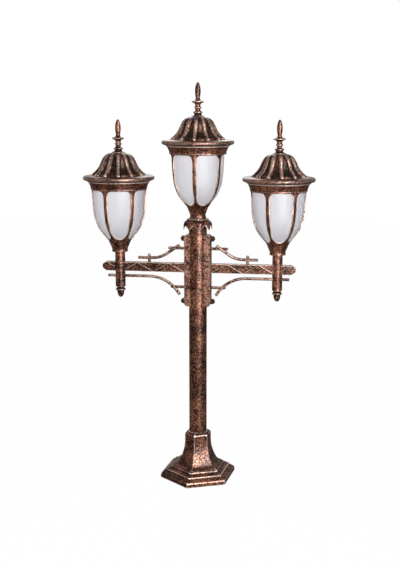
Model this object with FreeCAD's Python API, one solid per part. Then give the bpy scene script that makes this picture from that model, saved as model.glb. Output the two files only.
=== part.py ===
import FreeCAD, Part
import math
import os

# Triple head lamp post: a round pole in a hexagonal cast base, two straight arms bolted to the
# pole through curved straps, and three equal lanterns, one on the pole and one on each arm.
# Millimetres. Origin: centre of the base's underside. +Z up, arms along X, front towards -Y.
# Heights inside a lantern ("w") are measured up from the underside of its foot flange.

V = FreeCAD.Vector
UP = V(0, 0, 1)
SIDES = {"left": -1, "right": 1}

# ---- fits
SEAT = 0.3                    # gap between curved faces that seat on each other
BOLT_PLAY = 0.5               # radial play of a bolt in its hole
SCREW_PLAY = 0.2              # radial play of a small screw, and of a washer on its bolt
THREAD_PLAY = 0.1             # radial gap that stands for a thread
DRAFT = 1.0                   # how far the castings' upright faces lean in
OVERCUT = 1.0                 # how far a cut runs past a face
DRILL_RUN = 5.0               # how far a drilled hole's cutter runs past the piece

# ---- pole
POLE_R = 30.0
POLE_WALL = 3.0
POLE_TOP_Z = 901.0

# ---- ground plate inside the base
PLATE_R = 100.0
PLATE_T = 8.0
ANCHOR_PCD = 160.0
ANCHOR_HOLE_R = 6.5
ANCHOR_COUNT = 4
ANCHOR_TURN = 45.0            # direction of the first anchor hole, degrees
CABLE_ENTRY_R = 20.0

# ---- hexagonal base cover: radii are measured to the hexagon's corners
BASE_TURN = 21.6              # direction of the first corner, degrees
FOOT_R = 134.0
FOOT_EDGE_H = 15.0
FOOT_CHAMFER = 2.5
FOOT_SLOPE_R = 116.0
FOOT_SLOPE_Z = 25.0
STEP_R = 106.0
STEP_Z = 30.0
MOULDING_R = 94.0
MOULDING_Z = 40.0
MOULDING_BEVEL = 2.5
STEP_ROUND = 1.0
FLARE_FOOT_R = 89.0
FLARE_FOOT_Z = 43.5
FLARE = ((73.0, 51.0), (61.0, 69.0), (53.5, 88.0), (48.8, 106.0))
NECK_R = 46.4
NECK_LOW_Z = 125.0
NECK_TOP_Z = 155.0
BASE_TOP_R = 34.5
BASE_TOP_Z = 163.0
BASE_WALL = 6.0
BASE_SCREW_R = 3.0
BASE_SCREW_Z = 140.0
SCREW_HEAD_OUT = 1.5          # how far a grub screw stands out of its casting
BASE_SCREW_FACES = (0, 1)     # faces counted from the first corner, both at the back

# ---- crown of leaves round the pole's top
CROWN_DISC_T = 3.0
CROWN_TOP_R = 34.0
CROWN_NECK_R = 34.5
CROWN_BELLY_R = 45.5
CROWN_LIP_R = 48.2
CROWN_TIP_Z = 866.0
CROWN_SHOULDER = 2.0          # upright edge below the crown's top
CROWN_BELLY_DROP = 0.34       # where the belly, the lip and the collar's underside lie, as
CROWN_LIP_DROP = 0.7          # shares of the way from the crown's top to its leaf tips
CROWN_COLLAR_DROP = 0.3
CROWN_TIP_OUT = 0.6           # how far the tips turn out past the lip
CROWN_WALL = 4.0
LEAVES = 8
LEAF_TURN = 14.6
LEAF_DEPTH = 17.0
NOTCH_MID_W = 0.36            # a notch's half-width at mid-height, as a share of that below
CROWN_SCREW_R = 2.5
CROWN_SCREW_END_R = CROWN_NECK_R + 6.0
CROWN_SCREW_ANGLES = (59.6, 104.6)

# ---- arms
ARM_REACH = 266.1             # side lantern's axis from the pole's axis
ARM_Z = 736.4                 # middle height of the arm bars
ARM_H = 30.6
ARM_DEPTH = 22.0
ARM_WALL = 3.0
ARM_TIP_X = 327.2
ARM_POINT_L = 14.6            # length of the pyramid point
ARM_POINT_FLAT = 0.4          # share of the bar's section left at the point
ZIGZAG_PITCH = 107.0
ZIGZAG_W = 3.0
ZIGZAG_RISE = 1.2
ZIGZAG_LEGS = 6
ZIGZAG_GAP = 2.0              # bare bar between the zigzag and the lantern tube
CABLE_HOLE_R = 6.0

# ---- straps that hold the arms to the pole
STRAP_TOP_Z = 849.2
STRAP_BOTTOM_Z = 606.7
STRAP_FACE_X = 44.0
STRAP_W = 40.0
STRAP_END_R = 10.0
STRAP_HOLLOW = 0.75           # the hollow's nearest edge, as a share of the pole's radius
BOLT_R = 5.0
BOLT_ZS = (621.8, 835.4)
WASHER_R = 10.0
WASHER_T = 2.0
NUT_AF = 16.0
NUT_T = 8.4
BOLT_END = 3.0                # thread that stands out of each nut

# ---- scroll rods and their pegs
ROD_R = 5.0
PEG_R = 5.0
ROD_Y = -ROD_R - SEAT / 2     # the rods cross in front of the pegs
PEG_Y = PEG_R + SEAT / 2
UPPER_ROD_Z = 768.0
UPPER_ROD_OUT_X = 202.0
UPPER_ROD_BEND_X = 153.0
UPPER_ROD_BEND_R = 85.0
UPPER_ROD_ANGLE = 35.0
UPPER_ROD_IN_X = 62.0
LOWER_ROD_Z = 704.6
LOWER_ROD_OUT_X = 306.4
LOWER_ROD_BEND_X = 164.0
LOWER_ROD_BEND_R = 115.0
LOWER_ROD_ANGLE = 53.0
LOWER_ROD_IN_X = 61.0
UPPER_PEG_Z = 801.0
UPPER_PEG_X = 102.0
LOWER_PEG_Z = 668.5
LOWER_PEG_X = 94.0
ARM_PEG_X = 166.5
ARM_PEG_TOP_Z = 781.0

# ---- upright tubes that carry the side lanterns, and their drop finials
TUBE_R = 16.85
TUBE_WALL = 3.0
TUBE_BOTTOM_Z = 668.0
SIDE_FOOT_Z = 786.0           # underside of a side lantern's foot flange
DROP_NECK_R = 12.8
DROP_NECK_H = 8.0
DROP_RING_R = 16.9
DROP_RING_H = 8.0
DROP_TIP_Z = 629.0
DROP_TIP_R = 3.5
DROP_PLUG_L = 14.0
DROP_WAIST_IN = 2.6           # how far the tip's side curves in from its neck
DROP_TIP_ROUND = 1.5

# ---- lanterns
LANTERNS = {"centre": (0.0, 30.6), "left": (-ARM_REACH, 12.1), "right": (ARM_REACH, 9.7)}
RIBS = 6
FLANGE_R = 27.0
FLANGE_T = 8.0
CAGE_BOWL = ((26.5, 10.0), (33.5, 27.5), (48.0, 50.0), (72.0, 83.0), (84.8, 124.0), (88.8, 162.0),
             (91.0, 204.0))
CAGE_WALL = 4.0
BAND_LOW_R = 93.5
BAND_TOP_R = 96.0
BAND_LOW_W = 207.0
BAND_TOP_W = 225.0
CAGE_MOUTH_R = 87.0
SEAT_W = 238.0                # top of the cage, where the roof seats
SEAT_R = 105.0
SEAT_WIDTH = 6.5
COVE_BEND_H = 5.5             # height of the cove's bend below the seat
SEAT_EDGE = 1.5
MOUTH_UP = 2.0                # top of the cage's upright mouth above the band
LEDGE_W = 40.0
LEDGE_R = 27.0
FLOOR_T = 6.0
FUNNEL_BORE_R = 19.0
SPIGOT_L = 18.0
SPIGOT_WALL = 2.8
RIB_W = 10.0
WINDOW_TOP_W = 204.0
WINDOW_CORNER_R = 15.0
WINDOW_BOTTOM_W = 46.0
WINDOW_ROUND_W = 92.0         # height where the window's sides start to round
WINDOW_BELLY = 1.0            # how far a window's side bows out
WINDOW_CUT_R = 20.0           # where a window's cutter starts
GLASS_WALL = 3.0
GLASS_TOP_W = 223.0
GASKET_T = 1.5
GASKET_EDGE = 0.5             # how far the gasket lies inside the seat's edge

# ---- roof: a fluted dome on a rolled brim
LIP_R = 119.0
LIP_LOW_W = 241.0
LIP_TOP_W = 255.0
LIP_INNER_R = 112.0
BRIM_TOP_W = 257.0
BRIM_WALL = 4.5
BRIM_SHELF = 8.0              # flat of the brim round the dome's ridges
POCKET_STEP = 3.0             # from the brim's pocket down to the dome's hollow
SPIGOT_RING_W = 227.0
SPIGOT_RING_T = 4.4
ROOF_SPIGOT_PLAY = 0.6
FLUTES = 12
# height, radius over the ridges, depth of the valleys
DOME = ((256.0, 88.5, 9.5), (262.0, 85.0, 9.2), (272.0, 76.0, 8.2), (283.0, 67.0, 7.2), (296.0, 60.8, 6.2),
        (308.0, 54.6, 5.2), (318.0, 47.8, 4.0), (326.0, 38.0, 2.4), (331.0, 22.5, 0.3))
DOME_WALL = 4.0
ROOF_TOP_W = 331.0
FINIAL_TOP_W = 440.0
# radius and height above the roof's top: cone, bead, neck, bead, neck, saucer, foot of the flame
SPIRE = ((22.0, 1.5), (14.5, 4.5), (11.8, 9.5), (14.6, 11.4), (15.6, 13.6), (14.4, 15.8), (10.5, 18.0),
         (8.2, 22.0), (9.0, 25.0), (11.2, 26.8), (11.8, 28.6), (11.2, 30.4), (9.2, 32.4), (8.8, 37.5),
         (11.5, 42.0), (18.6, 45.0), (20.2, 47.3), (18.4, 49.4), (10.5, 52.4), (7.0, 58.5))
FLAME_R = 9.4
FLAME_BELLY_UP = 2.25         # how far the flame's widest place stands above its middle
FLAME_TIP_H = 12.0
FLAME_TIP_R = 1.2
FLAME_TIP_SWELL = 3.2         # added radius at a third of the tip's height
STUD_R = 4.0
STUD_L = 14.0
STUD_BORE_L = 40.0
STUD_BORE_LOW = 30.0          # start of the stud's bore below the roof's top

# ---- lamp inside each lantern
STEM_R = 5.0
STEM_BORE_R = 3.5
STEM_LOW_W = -13.0
STEM_TOP_W = 48.0
STEM_NUT_AF = 16.0
STEM_NUT_T = 5.0
HOLDER_R = 20.0
HOLDER_LOW_W = 40.0
HOLDER_FLOOR_W = 58.0
HOLDER_TOP_W = 88.0
HOLDER_BORE_R = 14.0
HOLDER_TAPER = 4.0
CAP_R = 13.3
CAP_LOW_W = 60.0
CAP_L = 26.0
BULB_R = 30.0
BULB_L = 110.0
BULB_NECK_R = 13.0
BULB_NECK_L = 5.0
BULB_MEET_ANGLE = 40.0        # below the bulb's middle, where its neck meets it


def section(*runs):
    """Flat face in the XZ plane from runs of (radius, height) points.

    Each run is (kind, points). "straight" joins its points with lines, "arcs" is a chain of
    three-point arcs that share their ends, and "curve" is one smooth line through its points.
    Lines close the gaps between runs.
    """
    edges = []
    last = None
    for kind, points in list(runs) + [("straight", [runs[0][1][0]])]:
        corners = [V(r, 0, z) for r, z in points]
        if last is not None and last.distanceToPoint(corners[0]) > 1e-6:
            edges.append(Part.makeLine(last, corners[0]))
        if kind == "straight":
            edges += [Part.makeLine(a, b) for a, b in zip(corners, corners[1:])]
        elif kind == "arcs":
            edges += [Part.Arc(*corners[i:i + 3]).toShape() for i in range(0, len(corners) - 2, 2)]
        else:
            curve = Part.BSplineCurve()
            curve.interpolate(corners)
            edges.append(curve.toShape())
        last = corners[-1]
    return Part.Face(Part.Wire(edges))


def turned(*runs):
    """Solid of revolution about Z from the runs of section()."""
    return section(*runs).revolve(V(0, 0, 0), UP, 360)


def parallel(points, distance):
    """The same open line of (r, z) points, moved sideways; plus is to the right of its run."""
    moved = []
    for i, (r, z) in enumerate(points):
        r0, z0 = points[max(i - 1, 0)]
        r1, z1 = points[min(i + 1, len(points) - 1)]
        length = math.hypot(r1 - r0, z1 - z0)
        moved.append((r + distance * (z1 - z0) / length, z - distance * (r1 - r0) / length))
    return moved


def height_cut(points, z):
    """Radius at height z on a line of (r, z) points."""
    for (r0, z0), (r1, z1) in zip(points, points[1:]):
        if min(z0, z1) <= z <= max(z0, z1):
            return r0 + (r1 - r0) * (z - z0) / (z1 - z0)
    return points[-1][0]


def rod(radius, start, end):
    """Round bar between two points."""
    run = end - start
    return Part.makeCylinder(radius, run.Length, start, run)


def block(x0, x1, y0, y1, z0, z1):
    """Box between two corners, given in any order."""
    low = V(min(x0, x1), min(y0, y1), min(z0, z1))
    return Part.makeBox(abs(x1 - x0), abs(y1 - y0), abs(z1 - z0), low)


def ring_copies(shape, count, turn=0.0):
    """Copies of a shape spaced evenly about Z."""
    copies = []
    for i in range(count):
        copy = shape.copy()
        copy.rotate(V(0, 0, 0), UP, turn + 360.0 * i / count)
        copies.append(copy)
    return copies


def hex_nut(across_flats, length, bore_r, start, direction):
    """Hexagonal nut from start along direction."""
    corner_r = across_flats / math.sqrt(3)
    corners = [V(corner_r * math.cos(math.radians(60 * i)), corner_r * math.sin(math.radians(60 * i)), 0)
               for i in range(7)]
    body = Part.Face(Part.makePolygon(corners)).extrude(V(0, 0, length))
    body = body.cut(Part.makeCylinder(bore_r, length, V(0, 0, 0), UP))
    body.Placement = FreeCAD.Placement(start, FreeCAD.Rotation(UP, direction))
    return body


# ---------------------------------------------------------------- base and pole
def hexagonal(*runs):
    """Body with a hexagon plan whose corners follow the runs of section()."""
    face = section(*runs)
    reach = FOOT_R * 1.2
    half_side = reach * math.tan(math.radians(30))
    to_flat = FreeCAD.Matrix()
    to_flat.A11 = math.cos(math.radians(30))
    face = face.transformGeometry(to_flat)
    face.translate(V(0, -half_side, 0))
    slab = face.extrude(V(0, 2 * half_side, 0))
    low = -DRILL_RUN
    sector_plan = Part.makePolygon([V(0, 0, low), V(reach, half_side, low), V(reach, -half_side, low),
                                    V(0, 0, low)])
    sector = Part.Face(sector_plan).extrude(V(0, 0, BASE_TOP_Z - 2 * low))
    wedges = ring_copies(slab.common(sector), 6, BASE_TURN + 30)
    return wedges[0].multiFuse(wedges[1:]).removeSplitter()


def base_cover():
    """Stepped hexagonal foot and flared body, open below, with a round hole for the pole."""
    flare = [(FLARE_FOOT_R, FLARE_FOOT_Z)] + list(FLARE) + [(NECK_R, NECK_LOW_Z)]
    outside = hexagonal(
        ("straight", [(0, 0), (FOOT_R, 0), (FOOT_R - DRAFT, FOOT_EDGE_H),
                      (FOOT_R - DRAFT - FOOT_CHAMFER, FOOT_EDGE_H + FOOT_CHAMFER),
                      (FOOT_SLOPE_R, FOOT_SLOPE_Z), (FOOT_SLOPE_R - DRAFT, STEP_Z - STEP_ROUND),
                      (STEP_R, STEP_Z),
                      (MOULDING_R, MOULDING_Z - MOULDING_BEVEL), (MOULDING_R - MOULDING_BEVEL, MOULDING_Z)]),
        ("curve", flare),
        ("straight", [(NECK_R, NECK_TOP_Z), (BASE_TOP_R + DRAFT, BASE_TOP_Z), (0, BASE_TOP_Z)]))
    inner = parallel(flare, -BASE_WALL)
    inner[-1] = (NECK_R - BASE_WALL, NECK_LOW_Z)
    hollow = hexagonal(
        ("straight", [(0, -OVERCUT), (FOOT_R - DRAFT - BASE_WALL, -OVERCUT),
                      (FOOT_R - DRAFT - BASE_WALL, FOOT_EDGE_H - BASE_WALL / 2),
                      (FOOT_SLOPE_R - BASE_WALL, FOOT_SLOPE_Z - BASE_WALL),
                      (MOULDING_R - BASE_WALL, MOULDING_Z - 2 * BASE_WALL)]),
        ("curve", inner),
        ("straight", [(NECK_R - BASE_WALL, NECK_TOP_Z - BASE_WALL), (0, NECK_TOP_Z - BASE_WALL)]))
    cover = outside.cut(hollow)
    cover = cover.cut(Part.makeCylinder(POLE_R + SEAT, BASE_TOP_Z + DRILL_RUN))
    return cover.cut(Part.makeCompound(base_screws(BASE_SCREW_R + SCREW_PLAY)))


def base_screws(radius=BASE_SCREW_R):
    """Grub screws through the cover's neck onto the pole."""
    face_x = NECK_R * math.cos(math.radians(30))
    screws = []
    for face in BASE_SCREW_FACES:
        screw = rod(radius, V(POLE_R + SEAT, 0, BASE_SCREW_Z), V(face_x + SCREW_HEAD_OUT, 0, BASE_SCREW_Z))
        screw.rotate(V(0, 0, 0), UP, BASE_TURN + 30 + 60 * face)
        screws.append(screw)
    return screws


def ground_plate():
    """Round steel plate with anchor holes and a cable hole."""
    plate = Part.makeCylinder(PLATE_R, PLATE_T)
    hole = Part.makeCylinder(ANCHOR_HOLE_R, PLATE_T, V(ANCHOR_PCD / 2, 0, 0))
    holes = ring_copies(hole, ANCHOR_COUNT, ANCHOR_TURN)
    return plate.cut(Part.makeCompound(holes + [Part.makeCylinder(CABLE_ENTRY_R, PLATE_T)]))


def pole():
    """Steel tube with holes for the two tie rods, and a cable hole to each arm."""
    tube = turned(("straight", [(POLE_R - POLE_WALL, PLATE_T), (POLE_R, PLATE_T), (POLE_R, POLE_TOP_Z),
                                (POLE_R - POLE_WALL, POLE_TOP_Z)]))
    reach = POLE_R + DRILL_RUN
    holes = [rod(BOLT_R + BOLT_PLAY, V(-reach, 0, z), V(reach, 0, z)) for z in BOLT_ZS]
    holes.append(rod(CABLE_HOLE_R, V(-reach, 0, ARM_Z), V(reach, 0, ARM_Z)))
    return tube.cut(Part.makeCompound(holes))


def crown():
    """Cap on the pole with a skirt of pointed leaves that stand out from the pole."""
    top_z = POLE_TOP_Z + CROWN_DISC_T
    drop = top_z - CROWN_TIP_Z
    outer = [(CROWN_NECK_R, top_z - CROWN_SHOULDER), (CROWN_BELLY_R, top_z - CROWN_BELLY_DROP * drop),
             (CROWN_LIP_R, top_z - CROWN_LIP_DROP * drop), (CROWN_LIP_R + CROWN_TIP_OUT, CROWN_TIP_Z)]
    inner = parallel(outer, CROWN_WALL)[::-1]
    collar_z = top_z - CROWN_COLLAR_DROP * drop
    inner = [(r, z) for r, z in inner if z < collar_z] + [(POLE_R + SEAT, collar_z)]
    skirt = turned(
        ("straight", [(spigot_r() + SEAT, top_z), (CROWN_TOP_R, top_z)]),
        ("curve", outer),
        ("straight", inner),
        ("straight", [(POLE_R + SEAT, POLE_TOP_Z), (spigot_r() + SEAT, POLE_TOP_Z)]))
    half = math.pi * CROWN_LIP_R / LEAVES
    low_z = CROWN_TIP_Z - OVERCUT
    mid = NOTCH_MID_W * half
    mid_z = CROWN_TIP_Z + LEAF_DEPTH / 2
    notch_top = V(0, 0, CROWN_TIP_Z + LEAF_DEPTH)
    left = Part.Arc(V(-half, 0, low_z), V(-mid, 0, mid_z), notch_top).toShape()
    right = Part.Arc(notch_top, V(mid, 0, mid_z), V(half, 0, low_z)).toShape()
    low = Part.makeLine(V(half, 0, low_z), V(-half, 0, low_z))
    notch = Part.Face(Part.Wire([left, right, low]))
    notch.translate(V(0, -2 * CROWN_LIP_R, 0))
    notch = notch.extrude(V(0, 2 * CROWN_LIP_R - POLE_R, 0))
    notches = ring_copies(notch, LEAVES, 90 + LEAF_TURN + 180.0 / LEAVES)
    screws = Part.makeCompound(crown_screws(CROWN_SCREW_R + SCREW_PLAY))
    return skirt.cut(Part.makeCompound(notches)).cut(screws)


def crown_screws(radius=CROWN_SCREW_R):
    """Small grub screws that hold the crown on the pole, at the back."""
    z = POLE_TOP_Z - 2 * CROWN_SCREW_R
    screws = []
    for angle in CROWN_SCREW_ANGLES:
        screw = rod(radius, V(POLE_R + SEAT, 0, z), V(CROWN_SCREW_END_R, 0, z))
        screw.rotate(V(0, 0, 0), UP, angle)
        screws.append(screw)
    return screws


# ---------------------------------------------------------------- arms
def strap(side):
    """Thick strap, hollow ground to the pole, with rounded ends."""
    inner_x = POLE_R * STRAP_HOLLOW
    depth = STRAP_FACE_X - inner_x
    plan = [("straight", [(inner_x, STRAP_BOTTOM_Z), (STRAP_FACE_X - STRAP_END_R, STRAP_BOTTOM_Z)]),
            ("arcs", end_arc(STRAP_FACE_X, STRAP_BOTTOM_Z, 1)),
            ("arcs", end_arc(STRAP_FACE_X, STRAP_TOP_Z, -1)[::-1]),
            ("straight", [(inner_x, STRAP_TOP_Z)])]
    bar = section(*plan)
    bar.translate(V(0, -STRAP_W / 2, 0))
    bar = bar.extrude(V(0, STRAP_W, 0))
    cuts = [Part.makeCylinder(POLE_R + SEAT, STRAP_TOP_Z + DRILL_RUN)]
    cuts += [rod(BOLT_R + BOLT_PLAY, V(inner_x, 0, z), V(inner_x + 2 * depth, 0, z)) for z in BOLT_ZS]
    cuts.append(rod(CABLE_HOLE_R, V(inner_x, 0, ARM_Z), V(inner_x + 2 * depth, 0, ARM_Z)))
    return mirrored(bar.cut(Part.makeCompound(cuts)), side)


def end_arc(face_x, end_z, inward):
    """Three points of the rounded corner at a strap's end."""
    middle = STRAP_END_R * (1 - math.sqrt(0.5))
    return [(face_x - STRAP_END_R, end_z), (face_x - middle, end_z + inward * middle),
            (face_x, end_z + inward * STRAP_END_R)]


def mirrored(shape, side):
    """The shape as it is for the right side, or mirrored for the left."""
    return shape if side > 0 else shape.mirror(V(0, 0, 0), V(1, 0, 0))


def tie_rods():
    """Threaded rods that pull both straps onto the pole."""
    reach = STRAP_FACE_X + WASHER_T + NUT_T + BOLT_END
    return [rod(BOLT_R, V(-reach, 0, z), V(reach, 0, z)) for z in BOLT_ZS]


def tie_washers():
    """A washer on each strap face at each tie rod."""
    washers = []
    for side in SIDES.values():
        for z in BOLT_ZS:
            start = V(side * STRAP_FACE_X, 0, z)
            end = V(side * (STRAP_FACE_X + WASHER_T), 0, z)
            washers.append(rod(WASHER_R, start, end).cut(rod(BOLT_R + SCREW_PLAY, start, end)))
    return washers


def tie_nuts():
    """A nut on each washer."""
    face_x = STRAP_FACE_X + WASHER_T
    return [hex_nut(NUT_AF, NUT_T, BOLT_R + THREAD_PLAY, V(side * face_x, 0, z), V(side, 0, 0))
            for side in SIDES.values() for z in BOLT_ZS]


def arm_bar(side):
    """Box bar with a blunt pyramid point and a raised zigzag on its front and back."""
    point_x = ARM_TIP_X - ARM_POINT_L
    bar = block(STRAP_FACE_X, point_x, -ARM_DEPTH / 2, ARM_DEPTH / 2, ARM_Z - ARM_H / 2, ARM_Z + ARM_H / 2)
    rings = []
    for x, share in ((point_x, 1.0), (ARM_TIP_X, ARM_POINT_FLAT)):
        y = share * ARM_DEPTH / 2
        z = share * ARM_H / 2
        rings.append(Part.makePolygon([V(x, -y, ARM_Z - z), V(x, y, ARM_Z - z), V(x, y, ARM_Z + z),
                                       V(x, -y, ARM_Z + z), V(x, -y, ARM_Z - z)]))
    bar = bar.fuse(Part.makeLoft(rings, True, True))
    inner_y = ARM_DEPTH / 2 - ARM_WALL
    inner_z = ARM_H / 2 - ARM_WALL
    bar = bar.cut(block(STRAP_FACE_X - OVERCUT, ARM_REACH + TUBE_R, -inner_y, inner_y,
                        ARM_Z - inner_z, ARM_Z + inner_z))
    bar = bar.cut(Part.makeCylinder(CABLE_HOLE_R, ARM_H, V(ARM_REACH, 0, ARM_Z)))
    return mirrored(bar.fuse(zigzag()).removeSplitter(), side)


def zigzag():
    """Raised zigzag ribs on the bar's front and back, left out inside the lantern tube."""
    low = ARM_Z - ARM_H / 2
    high = ARM_Z + ARM_H / 2
    clear = TUBE_R + ZIGZAG_GAP
    ribs = []
    start = STRAP_FACE_X
    for leg in range(ZIGZAG_LEGS):
        x0 = start + leg * ZIGZAG_PITCH / 2
        x1 = x0 + ZIGZAG_PITCH / 2
        z0, z1 = (low, high) if leg % 2 == 0 else (high, low)
        corners = [V(x0 - ZIGZAG_W, 0, z0), V(x0 + ZIGZAG_W, 0, z0), V(x1 + ZIGZAG_W, 0, z1),
                   V(x1 - ZIGZAG_W, 0, z1), V(x0 - ZIGZAG_W, 0, z0)]
        rib = Part.Face(Part.makePolygon(corners))
        rib.translate(V(0, -ARM_DEPTH / 2 - ZIGZAG_RISE, 0))
        ribs.append(rib.extrude(V(0, ARM_DEPTH + 2 * ZIGZAG_RISE, 0)))
    both = ribs[0].multiFuse(ribs[1:])
    both = both.common(block(STRAP_FACE_X, ARM_TIP_X - ARM_POINT_L, -ARM_DEPTH, ARM_DEPTH, low, high))
    both = both.cut(block(ARM_REACH - clear, ARM_REACH + clear, -ARM_DEPTH, ARM_DEPTH, low, high))
    core = ARM_DEPTH / 2 - ARM_WALL / 2
    return both.cut(block(0, ARM_TIP_X, -core, core, low - OVERCUT, high + OVERCUT))


def bent_rod(out_x, bend_x, in_x, z, bend_r, angle, way):
    """Round rod: straight from out_x to bend_x, then an arc, then straight down to in_x.

    way is +1 where the inner end rises and -1 where it drops.
    """
    turn = math.radians(angle)
    arc_x = bend_x - bend_r * math.sin(turn)
    arc_z = z + way * bend_r * (1 - math.cos(turn))
    middle = V(bend_x - bend_r * math.sin(turn / 2), ROD_Y, z + way * bend_r * (1 - math.cos(turn / 2)))
    end = V(in_x, ROD_Y, arc_z + way * (arc_x - in_x) * math.tan(turn))
    path = Part.Wire([
        Part.makeLine(V(out_x, ROD_Y, z), V(bend_x, ROD_Y, z)),
        Part.Arc(V(bend_x, ROD_Y, z), middle, V(arc_x, ROD_Y, arc_z)).toShape(),
        Part.makeLine(V(arc_x, ROD_Y, arc_z), end)])
    ring = Part.Wire([Part.Circle(V(out_x, ROD_Y, z), V(-1, 0, 0), ROD_R).toShape()])
    return path.makePipeShell([ring], True, False)


def upper_rod(side):
    """Scroll rod above the arm."""
    return mirrored(bent_rod(UPPER_ROD_OUT_X, UPPER_ROD_BEND_X, UPPER_ROD_IN_X, UPPER_ROD_Z,
                             UPPER_ROD_BEND_R, UPPER_ROD_ANGLE, 1), side)


def lower_rod(side):
    """Scroll rod below the arm, run through the lantern tube."""
    return mirrored(bent_rod(LOWER_ROD_OUT_X, LOWER_ROD_BEND_X, LOWER_ROD_IN_X, LOWER_ROD_Z,
                             LOWER_ROD_BEND_R, LOWER_ROD_ANGLE, -1), side)


def peg(start, end):
    """Round peg with a ball end."""
    run = end - start
    run.normalize()
    ball = end - run * PEG_R
    return rod(PEG_R, start, ball).fuse(Part.makeSphere(PEG_R, ball)).removeSplitter()


def side_peg(side, reach_x, z):
    """Peg that stands out from the strap behind a rod."""
    return mirrored(peg(V(STRAP_FACE_X, PEG_Y, z), V(reach_x, PEG_Y, z)), side)


def arm_peg(side):
    """Peg that stands on the arm behind the upper rod."""
    return mirrored(peg(V(ARM_PEG_X, PEG_Y, ARM_Z + ARM_H / 2), V(ARM_PEG_X, PEG_Y, ARM_PEG_TOP_Z)), side)


def lantern_tube(side):
    """Upright tube with a slot for the arm bar and two holes for the lower rod."""
    tube = Part.makeCylinder(TUBE_R, SIDE_FOOT_Z - TUBE_BOTTOM_Z, V(ARM_REACH, 0, TUBE_BOTTOM_Z))
    reach = TUBE_R + DRILL_RUN
    rod_start = V(ARM_REACH - reach, ROD_Y, LOWER_ROD_Z)
    cuts = [Part.makeCylinder(TUBE_R - TUBE_WALL, SIDE_FOOT_Z, V(ARM_REACH, 0, 0)),
            block(ARM_REACH - reach, ARM_REACH + reach, -ARM_DEPTH / 2 - SEAT, ARM_DEPTH / 2 + SEAT,
                  ARM_Z - ARM_H / 2 - SEAT, ARM_Z + ARM_H / 2 + SEAT),
            rod(ROD_R + SEAT, rod_start, rod_start + V(2 * reach, 0, 0))]
    return mirrored(tube.cut(Part.makeCompound(cuts)), side)


def drop_finial(side):
    """Turned end piece with a plug that fits the tube's bore."""
    neck_z = TUBE_BOTTOM_Z - DROP_NECK_H
    ring_z = neck_z - DROP_RING_H
    plug_r = TUBE_R - TUBE_WALL - SEAT
    piece = turned(
        ("straight", [(0, TUBE_BOTTOM_Z + DROP_PLUG_L), (plug_r, TUBE_BOTTOM_Z + DROP_PLUG_L),
                      (plug_r, TUBE_BOTTOM_Z), (TUBE_R - DRAFT, TUBE_BOTTOM_Z),
                      (DROP_NECK_R, neck_z + DROP_NECK_H / 2),
                      (DROP_NECK_R, neck_z)]),
        ("straight", [(DROP_RING_R, neck_z - DROP_RING_H / 3), (DROP_RING_R, ring_z + DROP_RING_H / 3),
                      (DROP_NECK_R, ring_z)]),
        ("arcs", [(DROP_NECK_R, ring_z), (DROP_NECK_R - DROP_WAIST_IN, (ring_z + DROP_TIP_Z) / 2),
                  (DROP_TIP_R + DROP_TIP_ROUND, DROP_TIP_Z + DROP_TIP_R)]),
        ("straight", [(DROP_TIP_R, DROP_TIP_Z), (0, DROP_TIP_Z)]))
    piece.translate(V(ARM_REACH, 0, 0))
    return mirrored(piece, side)


# ---------------------------------------------------------------- lantern
def spigot_r():
    """Outer radius of the foot spigot, which fits the bore of a lantern tube."""
    return TUBE_R - TUBE_WALL - SEAT


def cage_inner_line():
    """Inner face of the cage: its start at the glass ledge, then arcs up to the mouth."""
    inner = parallel(CAGE_BOWL, -CAGE_WALL)
    start = (height_cut(inner, LEDGE_W), LEDGE_W)
    return [start] + inner[2:-1] + [(CAGE_MOUTH_R, CAGE_BOWL[-1][1])]


def cage():
    """Cast cage: funnel foot, six ribs, a band and a seat for the roof, as one shell."""
    bore_r = spigot_r() - SPIGOT_WALL
    shell = turned(
        ("straight", [(STEM_R + SEAT, 0), (bore_r, 0), (bore_r, -SPIGOT_L), (spigot_r(), -SPIGOT_L),
                      (spigot_r(), 0), (FLANGE_R, 0), (FLANGE_R, FLANGE_T)]),
        ("arcs", CAGE_BOWL),
        ("straight", [(BAND_LOW_R, BAND_LOW_W), (BAND_TOP_R, BAND_TOP_W), (BAND_TOP_R + DRAFT, BAND_TOP_W)]),
        ("arcs", [(BAND_TOP_R + DRAFT, BAND_TOP_W), (BAND_TOP_R + 3 * DRAFT, SEAT_W - COVE_BEND_H),
                  (SEAT_R - DRAFT, SEAT_W - SEAT_EDGE)]),
        ("straight", [(SEAT_R, SEAT_W), (SEAT_R - SEAT_WIDTH, SEAT_W),
                      (CAGE_MOUTH_R, BAND_TOP_W + MOUTH_UP)]),
        ("arcs", cage_inner_line()[:0:-1]),
        ("straight", cage_inner_line()[:1]),
        ("straight", [(LEDGE_R, LEDGE_W), (FUNNEL_BORE_R, FLOOR_T), (STEM_R + SEAT, FLOOR_T)]))
    return shell.cut(Part.makeCompound(ring_copies(window(), RIBS, 180.0 / RIBS)))


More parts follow.
